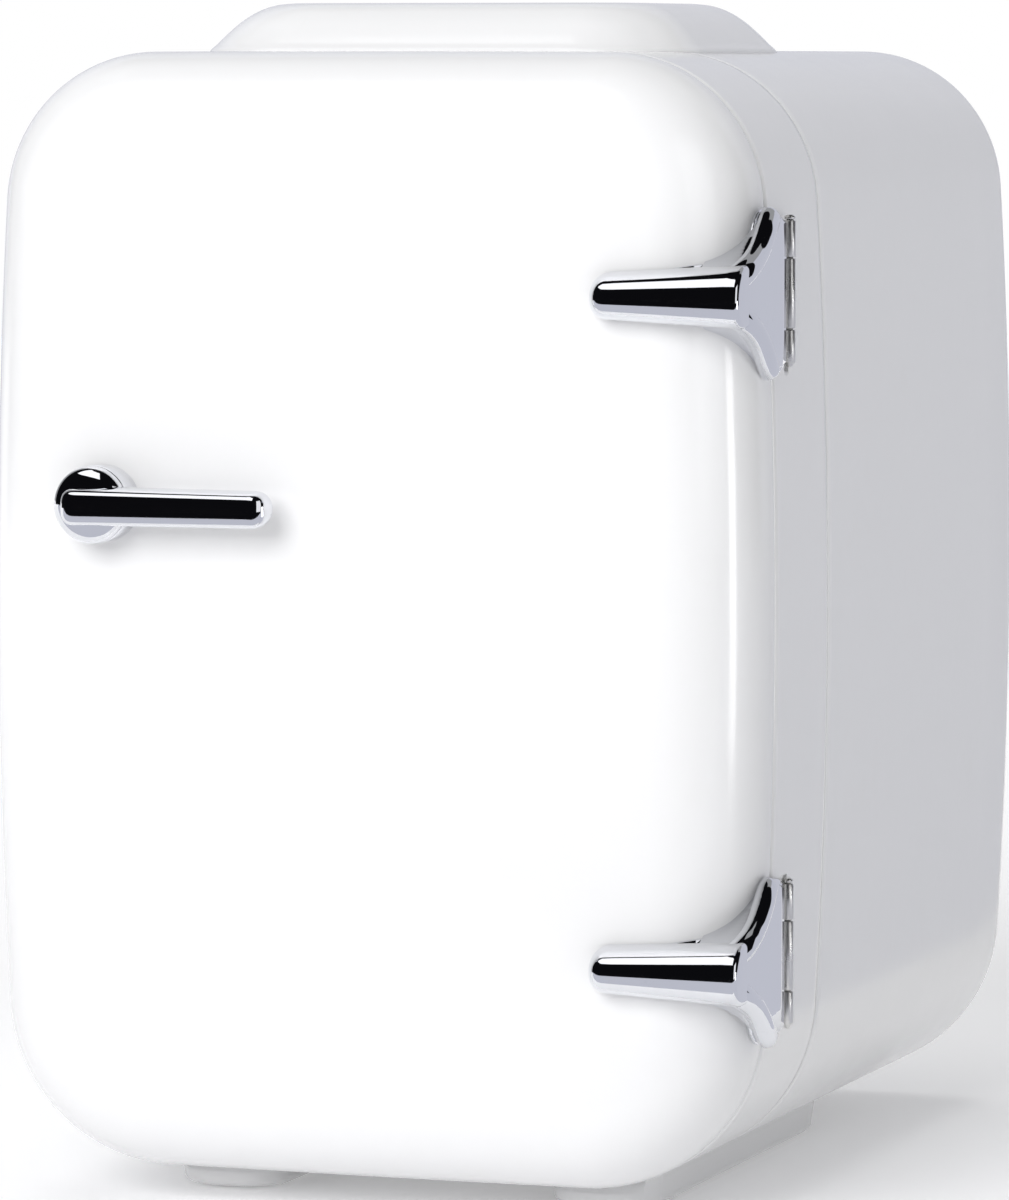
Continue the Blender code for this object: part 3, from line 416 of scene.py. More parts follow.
def quarter_outline(radius, inset):
    """Upper right quarter of the body outline, from the side to just before the top centre."""
    side = Vector((HALF_WIDTH - SIDE_RADIUS, 0))
    top = Vector((0, HALF_HEIGHT - TOP_RADIUS))
    to_side = SIDE_RADIUS - radius
    to_top = TOP_RADIUS - radius
    between = top - side
    along = (to_side**2 - to_top**2 + between.length_squared) / (2 * between.length)
    off = math.sqrt(to_side**2 - along**2)
    direction = between.normalized()
    corner = side + direction * along + Vector((-direction.y, direction.x)) * off
    side_end = math.atan2(corner.y - side.y, corner.x - side.x)
    top_start = math.atan2(corner.y - top.y, corner.x - top.x)
    points = arc(side, SIDE_RADIUS - inset, 0, side_end, 24)
    points += arc(corner, radius - inset, side_end, top_start, 24)
    points += arc(top, TOP_RADIUS - inset, top_start, math.pi / 2, 8)
    return points


def half_outline(radius, inset):
    right = quarter_outline(radius, inset)
    return right + [(0, HALF_HEIGHT - inset)] + [(-x, z) for x, z in reversed(right[1:])]


def body_ring(y, inset=0.0, scale=1.0):
    """The body outline at depth y, moved inwards by inset and shrunk about its centre."""
    upper = half_outline(TOP_CORNER, inset)
    points = upper + [(-x, -z) for x, z in half_outline(BOTTOM_CORNER, inset)]
    return [Vector((x * scale, y, CENTRE_Z + z * scale)) for x, z in points]


def lip(y, inset, radius, start, end, steps):
    """Rings round a rolled edge centred at (inset, y). 0 degrees points outwards and 90 to the rear."""
    rings = []
    for i in range(steps + 1):
        angle = math.radians(start + (end - start) * i / steps)
        rings.append(body_ring(y + radius * math.sin(angle), inset - radius * math.cos(angle)))
    return rings


def side_x_at(height):
    """How far the body's crowned side stands out at a height."""
    return HALF_WIDTH - SIDE_RADIUS + math.sqrt(SIDE_RADIUS**2 - (height - CENTRE_Z) ** 2)


def circle(radius, height, steps):
    turns = [2 * math.pi * i / steps for i in range(steps)]
    return [(radius * math.cos(turn), radius * math.sin(turn), height) for turn in turns]


def fuller(value, power):
    """A sine or cosine raised to a power with its sign kept, which squares a circle off a little."""
    return math.copysign(abs(value) ** power, value)


def soft_end(distance, length):
    """0 at a rounded end, rising along a quarter circle to 1 at length from it."""
    return math.sqrt(max(1 - max(1 - distance / length, 0) ** 2, 0))


def rounded_rectangle(half_x, half_y, radius, steps=12):
    """An outline with four corner arcs and three points on each straight side."""
    x = half_x - radius
    y = half_y - radius
    centres = (Vector((x, y)), Vector((-x, y)), Vector((-x, -y)), Vector((x, -y)))
    points = []
    for i, centre in enumerate(centres):
        end = (i + 1) * math.pi / 2
        points += arc(centre, radius, i * math.pi / 2, end, steps)
        for share in (0, 0.25, 0.5, 0.75):
            towards = centre.lerp(centres[(i + 1) % 4], share)
            points.append((towards.x + radius * math.cos(end), towards.y + radius * math.sin(end)))
    return points


def flat_ring(half_x, half_y, radius, z, centre):
    outline = rounded_rectangle(half_x, half_y, radius)
    return [Vector((centre[0] + x, centre[1] + y, z)) for x, y in outline]


def revolve(mesh_data, centre, axis, profile, steps):
    """Spins (radius, distance along the axis) pairs round an axis through centre, and caps both ends."""
    axis = Vector(axis).normalized()
    across = axis.orthogonal().normalized()
    other = axis.cross(across)
    rings = []
    for radius, along in profile:
        ring = []
        for i in range(steps):
            angle = 2 * math.pi * i / steps
            offset = across * (radius * math.cos(angle)) + other * (radius * math.sin(angle))
            ring.append(Vector(centre) + axis * along + offset)
        rings.append(ring)
    add_loft(mesh_data, rings)


def turned(name, centre, axis, profile, steps, slot, body, stands_for=()):
    """A piece made of one revolved profile."""
    mesh_data = bmesh.new()
    revolve(mesh_data, centre, axis, profile, steps)
    return add_piece(name, mesh_data, slot, body, stands_for)


def plan_of(node):
    """A node's centre in plan, and half its width and depth."""
    low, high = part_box(node)
    return ((low.x + high.x) / 2, (low.y + high.y) / 2), (high.x - low.x) / 2, (high.y - low.y) / 2


def smooth_curve(knots, steps):
    """A Catmull-Rom curve through knots of any number of dimensions."""
    padded = [knots[0]] + list(knots) + [knots[-1]]
    points = []
    for quad in zip(padded, padded[1:], padded[2:], padded[3:]):
        a, b, c, d = (Vector(knot) for knot in quad)
        square = 2 * a - 5 * b + 4 * c - d
        cube = 3 * b - a - 3 * c + d
        for i in range(steps):
            t = i / steps
            points.append(0.5 * (2 * b + (c - a) * t + square * t**2 + cube * t**3))
    points.append(Vector(knots[-1]))
    return points


# ---------------------------------------------------------------- door


def door_face_rings(offset=0.0):
    """The door's crowned front and rounded edge, or their inside at a wall's thickness."""
    rings = []
    for share in (0.03, 0.25, 0.5, 0.75, 0.9):
        rings.append(body_ring(DOOR_FRONT + FACE_CROWN * share**2 + offset, EDGE_WIDTH, share))
    steps = 28
    for i in range(steps, -1, -1):
        angle = math.radians(88 * i / steps)
        inset = offset + (EDGE_WIDTH - offset) * (1 - math.cos(angle))
        rings.append(body_ring(EDGE_END - (EDGE_DEPTH - offset) * math.sin(angle), inset))
    return rings


def door_shell():
    soft = 0.7 * MM
    rings = door_face_rings()
    rings += lip(DOOR_REAR - soft, soft, soft, 0, 90, 6)
    rings.append(body_ring(DOOR_REAR, WALL - 0.2 * MM))
    rings.append(body_ring(DOOR_REAR - 0.2 * MM, WALL))
    rings += list(reversed(door_face_rings(WALL)))
    loft("door_outer_moulding", rings, "gloss_white", "door", ["door_front_shell"])


def door_liner():
    """Inner door panel: a flange, a rolled plug, and a recessed field with a raised border."""
    low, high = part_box("door_liner")
    flange_front = low.y
    flange_rear = flange_front + 2.1 * MM
    plug_rear = high.y
    field = plug_rear - 3.8 * MM
    border = 28 * MM
    soft = 0.4 * MM
    inset = HALF_WIDTH - high.x + soft
    rings = [
        body_ring(flange_front, 30 * MM, POINT_SCALE),
        body_ring(flange_front, 30 * MM),
        body_ring(flange_front, inset),
        *lip(flange_front + soft, inset, soft, -90, 0, 2),
        *lip(flange_rear - soft, inset, soft, 0, 90, 2),
        body_ring(flange_rear, 20 * MM),
        body_ring(flange_rear, 21.4 * MM),
        body_ring(flange_rear + soft, 21.8 * MM),
        *lip(plug_rear - 2 * MM, 24 * MM, 2.1 * MM, 0, 90, 6),
        body_ring(plug_rear, border - MM),
        *lip(plug_rear - 1.2 * MM, border, -MM, 270, 180, 1),
        body_ring(field + 0.6 * MM, border + 2.5 * MM),
        body_ring(field, border + 3.5 * MM),
        body_ring(field, border + 5 * MM),
        body_ring(field, border + 5 * MM, 0.6),
        body_ring(field, border + 5 * MM, POINT_SCALE),
    ]
    loft("door_inner_panel", rings, "liner_plastic", "door", ["door_liner"])


def door_gasket():
    """A bellows gasket with a rounded sealing lip and a groove inside it.

    bellows pairs a share of the depth with an inset in mm, and groove pairs two lengths in mm.
    """
    low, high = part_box("door_gasket")
    inset = HALF_WIDTH - high.x
    front = low.y
    rear = high.y
    depth = rear - front
    bellows = ((0, 0.3), (0.35, 0), (0.5, 0.5), (0.7, 0.2))
    rings = [body_ring(front + share * depth, inset + inwards * MM) for share, inwards in bellows]
    rings += lip(rear - 0.6 * MM, inset + 0.8 * MM, 0.6 * MM, 20, 90, 3)
    groove = ((0, 2.8), (0.35, 3.3), (0, 3.8), (0, 5.8), (0.6, 6.5))
    rings += [body_ring(rear - sink * MM, inset + inwards * MM) for sink, inwards in groove]
    rings.append(body_ring(front, inset + 6.5 * MM))
    loft("door_seal", rings, "gasket_rubber", "door", ["door_gasket"], closed=True)


def door_handle():
    """A drum on the door, and a domed boss with the pull bar across it."""
    base_low, base_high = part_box("handle_base")
    bar_low, bar_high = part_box("handle_bar")
    centre_x = (base_low.x + base_high.x) / 2
    centre_z = (base_low.z + base_high.z) / 2
    handle_drum((centre_x, base_high.y, centre_z), base_high.y - base_low.y, base_high.x - centre_x)
    reach = bar_high.y - bar_low.y
    cap = bar_high.z - centre_z - 0.1 * MM
    handle_boss((centre_x, bar_high.y, centre_z), reach, cap)
    handle_lever(centre_x - cap + 2.6 * MM, bar_high.x, bar_high.y, centre_z, reach)


def handle_drum(centre, length, radius):
    drum = radius - 1.3 * MM
    profile = [(radius * 0.5, 0), (drum - 0.2 * MM, 0), (drum, 0.2 * MM), (drum, length - 0.15 * MM)]
    profile += [(drum - 0.15 * MM, length), (radius * 0.4, length)]
    turned("handle_base_disc", centre, TO_FRONT, profile, 72, "chrome", "door", ["handle_base"])


def handle_boss(centre, reach, cap):
    soft = 0.15 * MM
    dome = reach - 1.6 * MM
    profile = [(cap * 0.5, 0), (cap - soft, 0), (cap, soft)]
    for i in range(1, 18):
        angle = math.radians(90 * i / 18)
        profile.append((cap * math.cos(angle), soft + dome * math.sin(angle)))
    turned("handle_boss", centre, TO_FRONT, profile, 72, "chrome", "door")


def handle_lever(left, right, rear, centre_z, reach):
    """A half-round bar that tapers to the right, drops a little at its front and has soft ends."""
    stations = 48
    points = 28
    fullness = 0.62
    back = 1.6 * MM
    rings = []
    for i in range(stations + 1):
        share = 0.5 - 0.5 * math.cos(math.pi * i / stations)
        x = left + (right - left) * share
        left_end = soft_end(x - left, 3.2 * MM)
        right_end = soft_end(right - x, 3.4 * MM)
        half = (4.2 - 0.3 * share) * MM * (0.35 + 0.65 * left_end) * (0.3 + 0.7 * right_end)
        top = reach * (0.45 + 0.55 * left_end) * (0.25 + 0.75 * right_end)
        ring = []
        for j in range(points):
            angle = 2 * math.pi * j / points
            depth = fuller(math.sin(angle), fullness)
            out = back + (depth * (top - back) if depth > 0 else depth * 0.28 * 5.2 * MM)
            height = fuller(math.cos(angle), fullness) * half
            droop = 0.16 * half * max(depth, 0)
            ring.append((x, rear - out, centre_z + height - droop))
        rings.append(ring)
    loft("handle_lever", rings, "chrome", "door", ["handle_bar"])


def corner_plan(angle, side):
    """A point of the door's rounded edge in plan: 0 degrees is the end of the flat front, 90 the side."""
    turn = math.radians(angle)
    x = side - EDGE_WIDTH + EDGE_WIDTH * math.sin(turn)
    return x, EDGE_END - EDGE_DEPTH * math.cos(turn)


def add_arm(mesh_data, knots):
    """A half-round bar along (x, y, z, radius) knots, flat towards the door, with a round tip."""
    stations = smooth_curve(knots, 7)
    last = stations[-1]
    heading = Vector((last - stations[-2])[:3]).normalized()
    for i in range(1, 7):
        turn = math.radians(15 * i)
        centre = Vector(last[:3]) + heading * (last[3] * 0.95 * math.sin(turn))
        stations.append(Vector((*centre, last[3] * max(math.cos(turn), 0.08))))
    points = 24
    rings = []
    for index, station in enumerate(stations):
        before = stations[max(index - 1, 0)]
        after = stations[min(index + 1, len(stations) - 1)]
        along = Vector((after - before)[:3]).normalized()
        outward = Vector((1, -0.45, 0))
        outward = (outward - along * outward.dot(along)).normalized()
        across = along.cross(outward)
        ring = []
        for j in range(points):
            turn = 2 * math.pi * j / points
            rise = math.sin(turn) * (1.0 if math.sin(turn) > 0 else 0.35)
            offset = across * math.cos(turn) + outward * rise
            ring.append(Vector(station[:3]) + offset * station[3])
        rings.append(ring)
    add_loft(mesh_data, rings)


def bar_stations(tip, end):
    """The strap bar's places along X, each with its half height and its depth."""
    depth = 8.1 * MM
    half = 5.15 * MM
    widening = 1.55 * MM
    tip_length = 4.2 * MM
    end_round = 1.2 * MM
    stations = []
    for i in range(10):
        turn = math.radians(90 * i / 9)
        grow = math.sin(turn) ** 0.9
        x = tip + tip_length * (1 - math.cos(turn))
        stations.append((x, half * (0.16 + 0.84 * grow), depth * (0.2 + 0.8 * grow)))
    straight = end - end_round - tip - tip_length
    for i in range(1, 13):
        share = i / 12
        stations.append((tip + tip_length + straight * share, half + widening * share, depth))
    for i in range(1, 7):
        turn = math.radians(15 * i)
        sink = end_round * (1 - math.cos(turn))
        x = end - end_round + end_round * math.sin(turn)
        stations.append((x, half + widening - sink, depth - sink))
    return stations


def add_strap_bar(mesh_data, centre_z):
    """The straight half-round bar, with a bullet tip on the door and a blunt end past its side."""
    low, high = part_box("hinge_strap_upper")
    back = DOOR_FRONT + 0.9 * MM
    rings = []
    for x, half, reach in bar_stations(low.x, high.x - 1.3 * MM):
        ring = []
        for j in range(33):
            turn = math.pi * j / 32
            z = fuller(math.cos(turn), 0.9) * half - 0.14 * half * math.sin(turn)
            ring.append((x, back - reach * math.sin(turn) ** 0.85, centre_z + z))
        for share in (-0.6, 0.0, 0.6):
            ring.append((x, back + 0.02 * MM, centre_z + half * share))
        rings.append(ring)
    add_loft(mesh_data, rings)


def add_strap_plate(mesh_data, side, centre_z):
    """A thin plate that hugs the door's rounded edge and its side."""
    half_at_angle = [
        (16, 5.6), (31, 6.5), (42, 6.9), (51, 7.8), (57, 8.5), (61, 9.3), (64.5, 10.3),
        (68, 11.7), (71.3, 13.4), (75, 15.8), (79, 17.4), (84, 18.0), (89, 17.9),
    ]
    half_along_side = ((-82, 17.6), (-79, 17.2), (-77, 16.6), (-76, 16.0))
    places = []
    for angle, half in smooth_curve(half_at_angle, 3):
        places.append((corner_plan(angle, side), half * MM, math.radians(angle)))
    for y, half in half_along_side:
        places.append(((side, y * MM), half * MM, math.pi / 2))
    edge_lifts = ((1.0, 0.5), (0.999, 0.8), (0.97, 1.1), (0.9, 1.25), (0.6, 1.3), (0.3, 1.3), (0.0, 1.3))
    outer = list(edge_lifts) + [(-share, lift) for share, lift in reversed(edge_lifts[:-1])]
    rings = []
    for (x, y), half, turn in places:
        inner_lift = 0.12 if y < EDGE_END else 0.45
        inner = [(share, inner_lift) for share in (-1.0, -0.5, 0.0, 0.5, 1.0)]
        ring = []
        for share, lift in outer + inner:
            z = centre_z + half * share
            stand = lift * MM
            x_here = x + side_x_at(z) - side + math.sin(turn) * stand
            ring.append((x_here, y - math.cos(turn) * stand, z))
        rings.append(ring)
    add_loft(mesh_data, rings)


def add_strap_panel(mesh_data, side, centre_z, arm):
    """The flat web between the two arms. It faces right, and stands on the door's rounded edge."""
    face = side + 2.5 * MM
    bevel = 0.5 * MM
    edge = [(y, z - centre_z + 0.4 * radius) for x, y, z, radius in smooth_curve(arm, 3)]
    edge += [(y * MM, half * MM) for y, half in ((-83.5, 16.6), (-80, 16.2), (-77.4, 15.5), (-76.4, 14.9))]
    edge = [(DOOR_FRONT - 1.5 * MM, edge[0][1])] + edge
    rings = []
    for index, (y, half) in enumerate(edge):
        if y < EDGE_END:
            turn = math.acos(min((EDGE_END - y) / EDGE_DEPTH, 1.0))
            inner = side - EDGE_WIDTH + EDGE_WIDTH * math.sin(turn) + bevel
        else:
            inner = side + bevel
        inner = min(max(inner, side - 8 * MM), face - MM)
        drop = 0.7 * MM if index == len(edge) - 1 else 0.0
        outline = [(inner, 1.0), (face - bevel - drop, 1.0)]
        outline += [(face - drop, share) for share in (0.96, 0.6, 0.3, 0.0, -0.3, -0.6, -0.96)]
        outline += [(face - bevel - drop, -1.0), (inner, -1.0)]
        rings.append([(x, y, centre_z + half * share) for x, share in outline])
    add_loft(mesh_data, rings)


def hinge_strap(place):
    """A casting of bar, plate, web and two arms. The arm's knots are (x, y, z, radius) in mm."""
    node = "hinge_strap_" + place
    low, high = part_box(node)
    centre_z = (low.z + high.z) / 2
    side = side_x_at(centre_z)
    knots = [
        (-0.4, -108.0, 3.0, 3.0), (0.9, -104.5, 4.8, 3.0), (1.5, -100.5, 6.7, 2.9), (1.7, -96.8, 8.8, 2.85),
        (1.7, -93.6, 11.1, 2.85), (1.6, -90.9, 13.3, 2.85), (1.4, -88.6, 15.0, 2.8), (1.3, -87.0, 15.9, 2.7),
    ]
    arm = [(side + x * MM, y * MM, centre_z + z * MM, radius * MM) for x, y, z, radius in knots]
    mesh_data = bmesh.new()
    add_strap_bar(mesh_data, centre_z)
    add_strap_plate(mesh_data, side, centre_z)
    add_strap_panel(mesh_data, side, centre_z, arm)
    add_arm(mesh_data, arm)
    add_arm(mesh_data, [(x, y, 2 * centre_z - z, radius) for x, y, z, radius in arm])
    obj = add_piece("hinge_casting_" + place, mesh_data, "chrome", "door", [node])
    obj.data.set_sharp_from_angle(angle=math.radians(38))
    knuckle_barrel(place)
    hinge_rod(place)


def knuckle_barrel(place):
    """The three knuckles: the middle one turns with the door, the outer two stay on the cabinet."""
    low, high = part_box("hinge_pin_" + place)
    lengths = (8.2 * MM, 15.4 * MM, 7.4 * MM)
    gap = 0.3 * MM
    radius = 1.3 * MM
    soft = 0.2 * MM
    top = (low.z + high.z) / 2 + sum(lengths) / 2
    for index, length in enumerate(lengths):
        middle = top - length / 2
        half = (length - gap) / 2
        profile = [(0.9 * MM, -half), (radius - soft, -half)]
        profile += [(radius - 0.07 * MM, -half + 0.07 * MM), (radius, -half + soft)]
        profile += [(r, -a) for r, a in reversed(profile)]
        mesh_data = bmesh.new()
        revolve(mesh_data, (HINGE.x, HINGE.y, middle), UP, profile, 40)
        if index == 1:
            add_piece("door_knuckle_" + place, mesh_data, "steel", "door")
        else:
            leaf_low = (HINGE.x - 10 * MM, HINGE.y - 0.45 * MM, middle - half)
            leaf_high = (HINGE.x - MM, HINGE.y + 0.45 * MM, middle + half)
            bevelled_box(mesh_data, leaf_low, leaf_high, 0.15 * MM, 2)
            node = ["cabinet_hinge_leaf_" + place] if index == 0 else []
            add_piece(f"cabinet_knuckle_{place}_{index + 1}", mesh_data, "steel", "cabinet", node)
        top -= length


def hinge_rod(place):
    """The pin through the knuckles, with a small round head on top."""
    low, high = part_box("hinge_pin_" + place)
    rod = 0.75 * MM
    profile = [(0.3 * MM, low.z + 0.2 * MM), (rod, low.z + 0.5 * MM), (rod, high.z - MM)]
    profile += [(1.15 * MM, high.z - 0.9 * MM), (1.2 * MM, high.z - 0.4 * MM), (0.7 * MM, high.z)]
    node = "hinge_pin_" + place
    turned("hinge_rod_" + place, (HINGE.x, HINGE.y, 0), UP, profile, 32, "steel", "cabinet", [node])


# ---------------------------------------------------------------- cabinet


def front_collar():
    """The frame that the door meets, with a recess on the right for each hinge barrel."""
    seam = COLLAR_HIGH.y
    soft = 1.9 * MM
    bead = 0.25 * MM
    back = COLLAR_FRONT + WALL
    opening = 17.5 * MM
    rings = lip(COLLAR_FRONT + soft, soft, soft, -90, 0, 8)
    rings += [body_ring(COLLAR_FRONT + i * 1.5 * MM) for i in range(2, 14)]
    rings.append(body_ring(seam - 2 * MM))
    rings += lip(seam - bead, bead, bead, 0, 90, 2)
    rings += [body_ring(seam, WALL - 0.2 * MM), body_ring(seam - 0.2 * MM, WALL)]
    rings += [body_ring(back + MM, WALL), body_ring(back, WALL + MM)]
    rings += [body_ring(back, opening - 0.5 * MM), body_ring(back - 0.4 * MM, opening)]
    rings += [body_ring(COLLAR_FRONT + 0.6 * MM, opening), body_ring(COLLAR_FRONT, opening - 0.6 * MM)]
    rings.append(body_ring(COLLAR_FRONT, 9 * MM))
    nodes = ["cabinet_front_collar"]
    obj = loft("cabinet_front_frame", rings, "gloss_white", "cabinet", nodes, closed=True)
    recesses = []
    for place in ("upper", "lower"):
        low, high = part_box("hinge_pin_" + place)
        radius = 1.6 * MM
        reach = (high.z - low.z) / 2 + 0.7 * MM
        centre = (HINGE.x, HINGE.y, (low.z + high.z) / 2)
        profile = [(radius, -reach), (radius, reach)]
        recesses.append(turned("barrel_recess_" + place, centre, UP, profile, 40, "gloss_white", None))
    cut_away(obj, recesses)


def main_shell():
    """The body behind the collar, closed by a rounded edge at the rear."""
    seam = SHELL_LOW.y
    edge = 14 * MM
    inner = edge - WALL
    straight = SHELL_HIGH.y - edge
    bead = 0.25 * MM
    steps = 18
    angles = [math.radians(90 * i / steps) for i in range(steps + 1)]
    rings = lip(seam + bead, bead, bead, -90, 0, 2)
    rings += [body_ring(seam + 3 * MM), body_ring(straight - 20 * MM)]
    for angle in angles:
        rings.append(body_ring(straight + edge * math.sin(angle), edge * (1 - math.cos(angle))))
    for angle in reversed(angles):
        rings.append(body_ring(straight + inner * math.sin(angle), WALL + inner * (1 - math.cos(angle))))
    rings += [body_ring(seam + 0.2 * MM, WALL), body_ring(seam, WALL - 0.2 * MM)]
    loft("cabinet_main_moulding", rings, "gloss_white", "cabinet", ["cabinet_shell"], closed=True)


def liner():
    """The inner box, with a rolled front flange and soft inside corners."""
    low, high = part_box("inner_liner")
    front = low.y
    thickness = 1.8 * MM
    rear = high.y - thickness
    flange = 10 * MM
    flange_soft = 0.3 * MM
    roll = 1.4 * MM
    rings = [
        body_ring(high.y, 26 * MM, POINT_SCALE),
        body_ring(high.y, 26 * MM),
        *lip(high.y - 5 * MM, LINER_OPENING + 3.2 * MM, 5 * MM, 90, 0, 5),
        body_ring(front + 4 * MM, LINER_OPENING - thickness),
        body_ring(front + thickness, LINER_OPENING - 2.2 * MM),
        body_ring(front + thickness, flange + flange_soft),
        body_ring(front + thickness - flange_soft, flange),
        body_ring(front + flange_soft, flange),
        body_ring(front, flange + flange_soft),
        body_ring(front, LINER_OPENING - roll),
        *lip(front + roll, LINER_OPENING - roll, -roll, 90, 180, 4),
        body_ring(rear - 8 * MM, LINER_OPENING),
        *lip(rear - 5 * MM, LINER_OPENING + 5 * MM, 5 * MM, 0, 90, 6),
        body_ring(rear, 30 * MM),
        body_ring(rear, 30 * MM, POINT_SCALE),
    ]
    loft("cabinet_inner_box", rings, "liner_plastic", "cabinet", ["inner_liner"])
    shelf_rail("left", -1)
    shelf_rail("right", 1)


def shelf_rail(side, sign):
    """A rail with tapered ends, moulded on the liner's side wall under the shelf."""
    shelf_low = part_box("shelf")[0]
    wall = HALF_WIDTH - LINER_OPENING
    root = sign * (wall + MM)
    front = shelf_low.y
    rear = 56 * MM
    top = shelf_low.z - 0.35 * MM
    rings = []
    for y, grow in ((front, 0.3), (front + 0.6 * MM, 1.0), (rear - MM, 1.0), (rear, 0.3)):
        nose = wall - 4 * MM * grow
        rings.append([
            (root, y, top), (sign * (nose + 0.4 * MM), y, top), (sign * nose, y, top - 0.4 * MM),
            (sign * nose, y, top - 1.8 * MM), (root, y, top - 3.2 * MM),
        ])
    mesh_data = bmesh.new()
    add_loft(mesh_data, rings)
    add_piece("shelf_rail_" + side, mesh_data, "liner_plastic", "cabinet", smooth=False)


def bevelled_box(mesh_data, low, high, width, segments=3):
    """A box with rounded edges."""
    part = bmesh.ops.create_cube(mesh_data, size=1.0)["verts"]
    for vertex in part:
        for axis in range(3):
            vertex.co[axis] = low[axis] if vertex.co[axis] < 0 else high[axis]
    edges = list({edge for vertex in part for edge in vertex.link_edges})
    bmesh.ops.bevel(
        mesh_data, geom=part + edges, offset=width, segments=segments, profile=0.5, affect="EDGES"
    )


def shelf():
    """A moulded tray of slats in a rim, with a front lip."""
    low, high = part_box("shelf")
    top = low.z + 3 * MM
    rim = 11 * MM
    soft = 0.7 * MM
    slats = 8
    spacing = 16 * MM
    half = spacing / 2 - 1.8 * MM
    mesh_data = bmesh.new()
    bevelled_box(mesh_data, low, (high.x, low.y + 13 * MM, top), soft)
    bevelled_box(mesh_data, (low.x, high.y - rim, low.z), (high.x, high.y, top), soft)
    bevelled_box(mesh_data, low, (low.x + rim, high.y, top), soft)
    bevelled_box(mesh_data, (high.x - rim, low.y, low.z), (high.x, high.y, top), soft)
    for i in range(slats):
        x = (i - (slats - 1) / 2) * spacing
        slat_low = (x - half, low.y + 5 * MM, low.z + 0.3 * MM)
        bevelled_box(mesh_data, slat_low, (x + half, high.y - 5 * MM, top), soft)
    lip_low = (low.x + MM, low.y, low.z + 2 * MM)
    bevelled_box(mesh_data, lip_low, (high.x - MM, low.y + 3 * MM, high.z), soft)
    add_piece("shelf_tray", mesh_data, "shelf_plastic", "cabinet", ["shelf"])


def top_housing():
    """The raised moulding, with a soft shoulder and the pocket of the carry handle."""
    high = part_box("top_housing")[1]
    centre, half_x, half_y = plan_of("top_housing")
    shoulder = [(0, 0), (0.2, 3.9), (1.9, 5.9), (4.2, 8.4), (7.2, 11.2), (10.6, 13.4), (14, 14.6), (17.6, 15)]
    rings = []
    for inwards, rise in smooth_curve(shoulder, 5):
        inset = inwards * MM
        z = high.z - (shoulder[-1][1] - rise) * MM
        rings.append(flat_ring(half_x - inset, half_y - inset, 23 * MM - 0.6 * inset, z, centre))
    floor = 256.7 * MM

    def pocket_ring(grow, z, corner=4 * MM):
        rings.append(flat_ring(34 * MM + grow, 25 * MM + grow, corner + grow, z, centre))

    pocket_ring(5.2 * MM, high.z, 6 * MM)
    pocket_ring(3.4 * MM, high.z, 6 * MM)
    brim = 1.4 * MM
    for i in range(5):
        angle = math.radians(90 * i / 4)
        pocket_ring(brim * (1 - math.sin(angle)), high.z - brim * (1 - math.cos(angle)))
    for i in range(4):
        angle = math.radians(90 * i / 3)
        pocket_ring(MM * (math.cos(angle) - 1), floor + MM * (1 - math.sin(angle)))
    rings.append(flat_ring(20 * MM, 12 * MM, 2.5 * MM, floor, centre))
    obj = loft("top_raised_moulding", rings, "gloss_white", "cabinet", ["top_housing"])
    radius = 2.2 * MM
    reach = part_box("carry_handle")[1].x + 0.4 * MM
    profile = [(radius, -reach), (radius, reach)]
    cut_away(obj, [turned("pivot_holes", HANDLE_AXIS, TO_RIGHT, profile, 32, "gloss_white", None)])


def carry_handle():
    """A folding bail: one bar bent into a U, flattened a little, with stub pins at its ends."""
    low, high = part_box("carry_handle")
    pivot = HANDLE_AXIS
    half_x = 27 * MM
    front = low.y + 3 * MM
    bend = 4.5 * MM
    plan = [(half_x, y) for y in (pivot.y, pivot.y - 6 * MM, -5 * MM, front + bend + 6 * MM)]
    plan += arc((half_x - bend, front + bend), bend, 0, -math.pi / 2, 8)
    plan += [(half_x - bend, front), (half_x / 3, front)]
    plan += [(-x, y) for x, y in reversed(plan)]
    path = [Vector((x, y, pivot.z)) for x, y in plan]
    rings = []
    for index, point in enumerate(path):
        before = path[max(index - 1, 0)]
        after = path[min(index + 1, len(path) - 1)]
        across = (after - before).normalized().cross(Vector(UP))
        outline = rounded_rectangle(2.95 * MM, 2.95 * MM, 1.3 * MM, 5)
        rings.append([point + across * x + Vector((0, 0, z)) for x, z in outline])
    mesh_data = bmesh.new()
    add_loft(mesh_data, rings)
    reach = high.x - half_x
    stub = 1.95 * MM
    profile = [(3.0 * MM, -2.9 * MM), (3.0 * MM, 2.6 * MM), (2.7 * MM, 2.9 * MM), (stub, 2.95 * MM)]
    profile += [(stub, reach - 0.3 * MM), (1.7 * MM, reach)]
    for sign in (-1, 1):
        revolve(mesh_data, (sign * half_x, pivot.y, pivot.z), (sign, 0, 0), profile, 32)
    add_piece("carry_bail", mesh_data, "gloss_white", "carry_handle_body", ["carry_handle"])


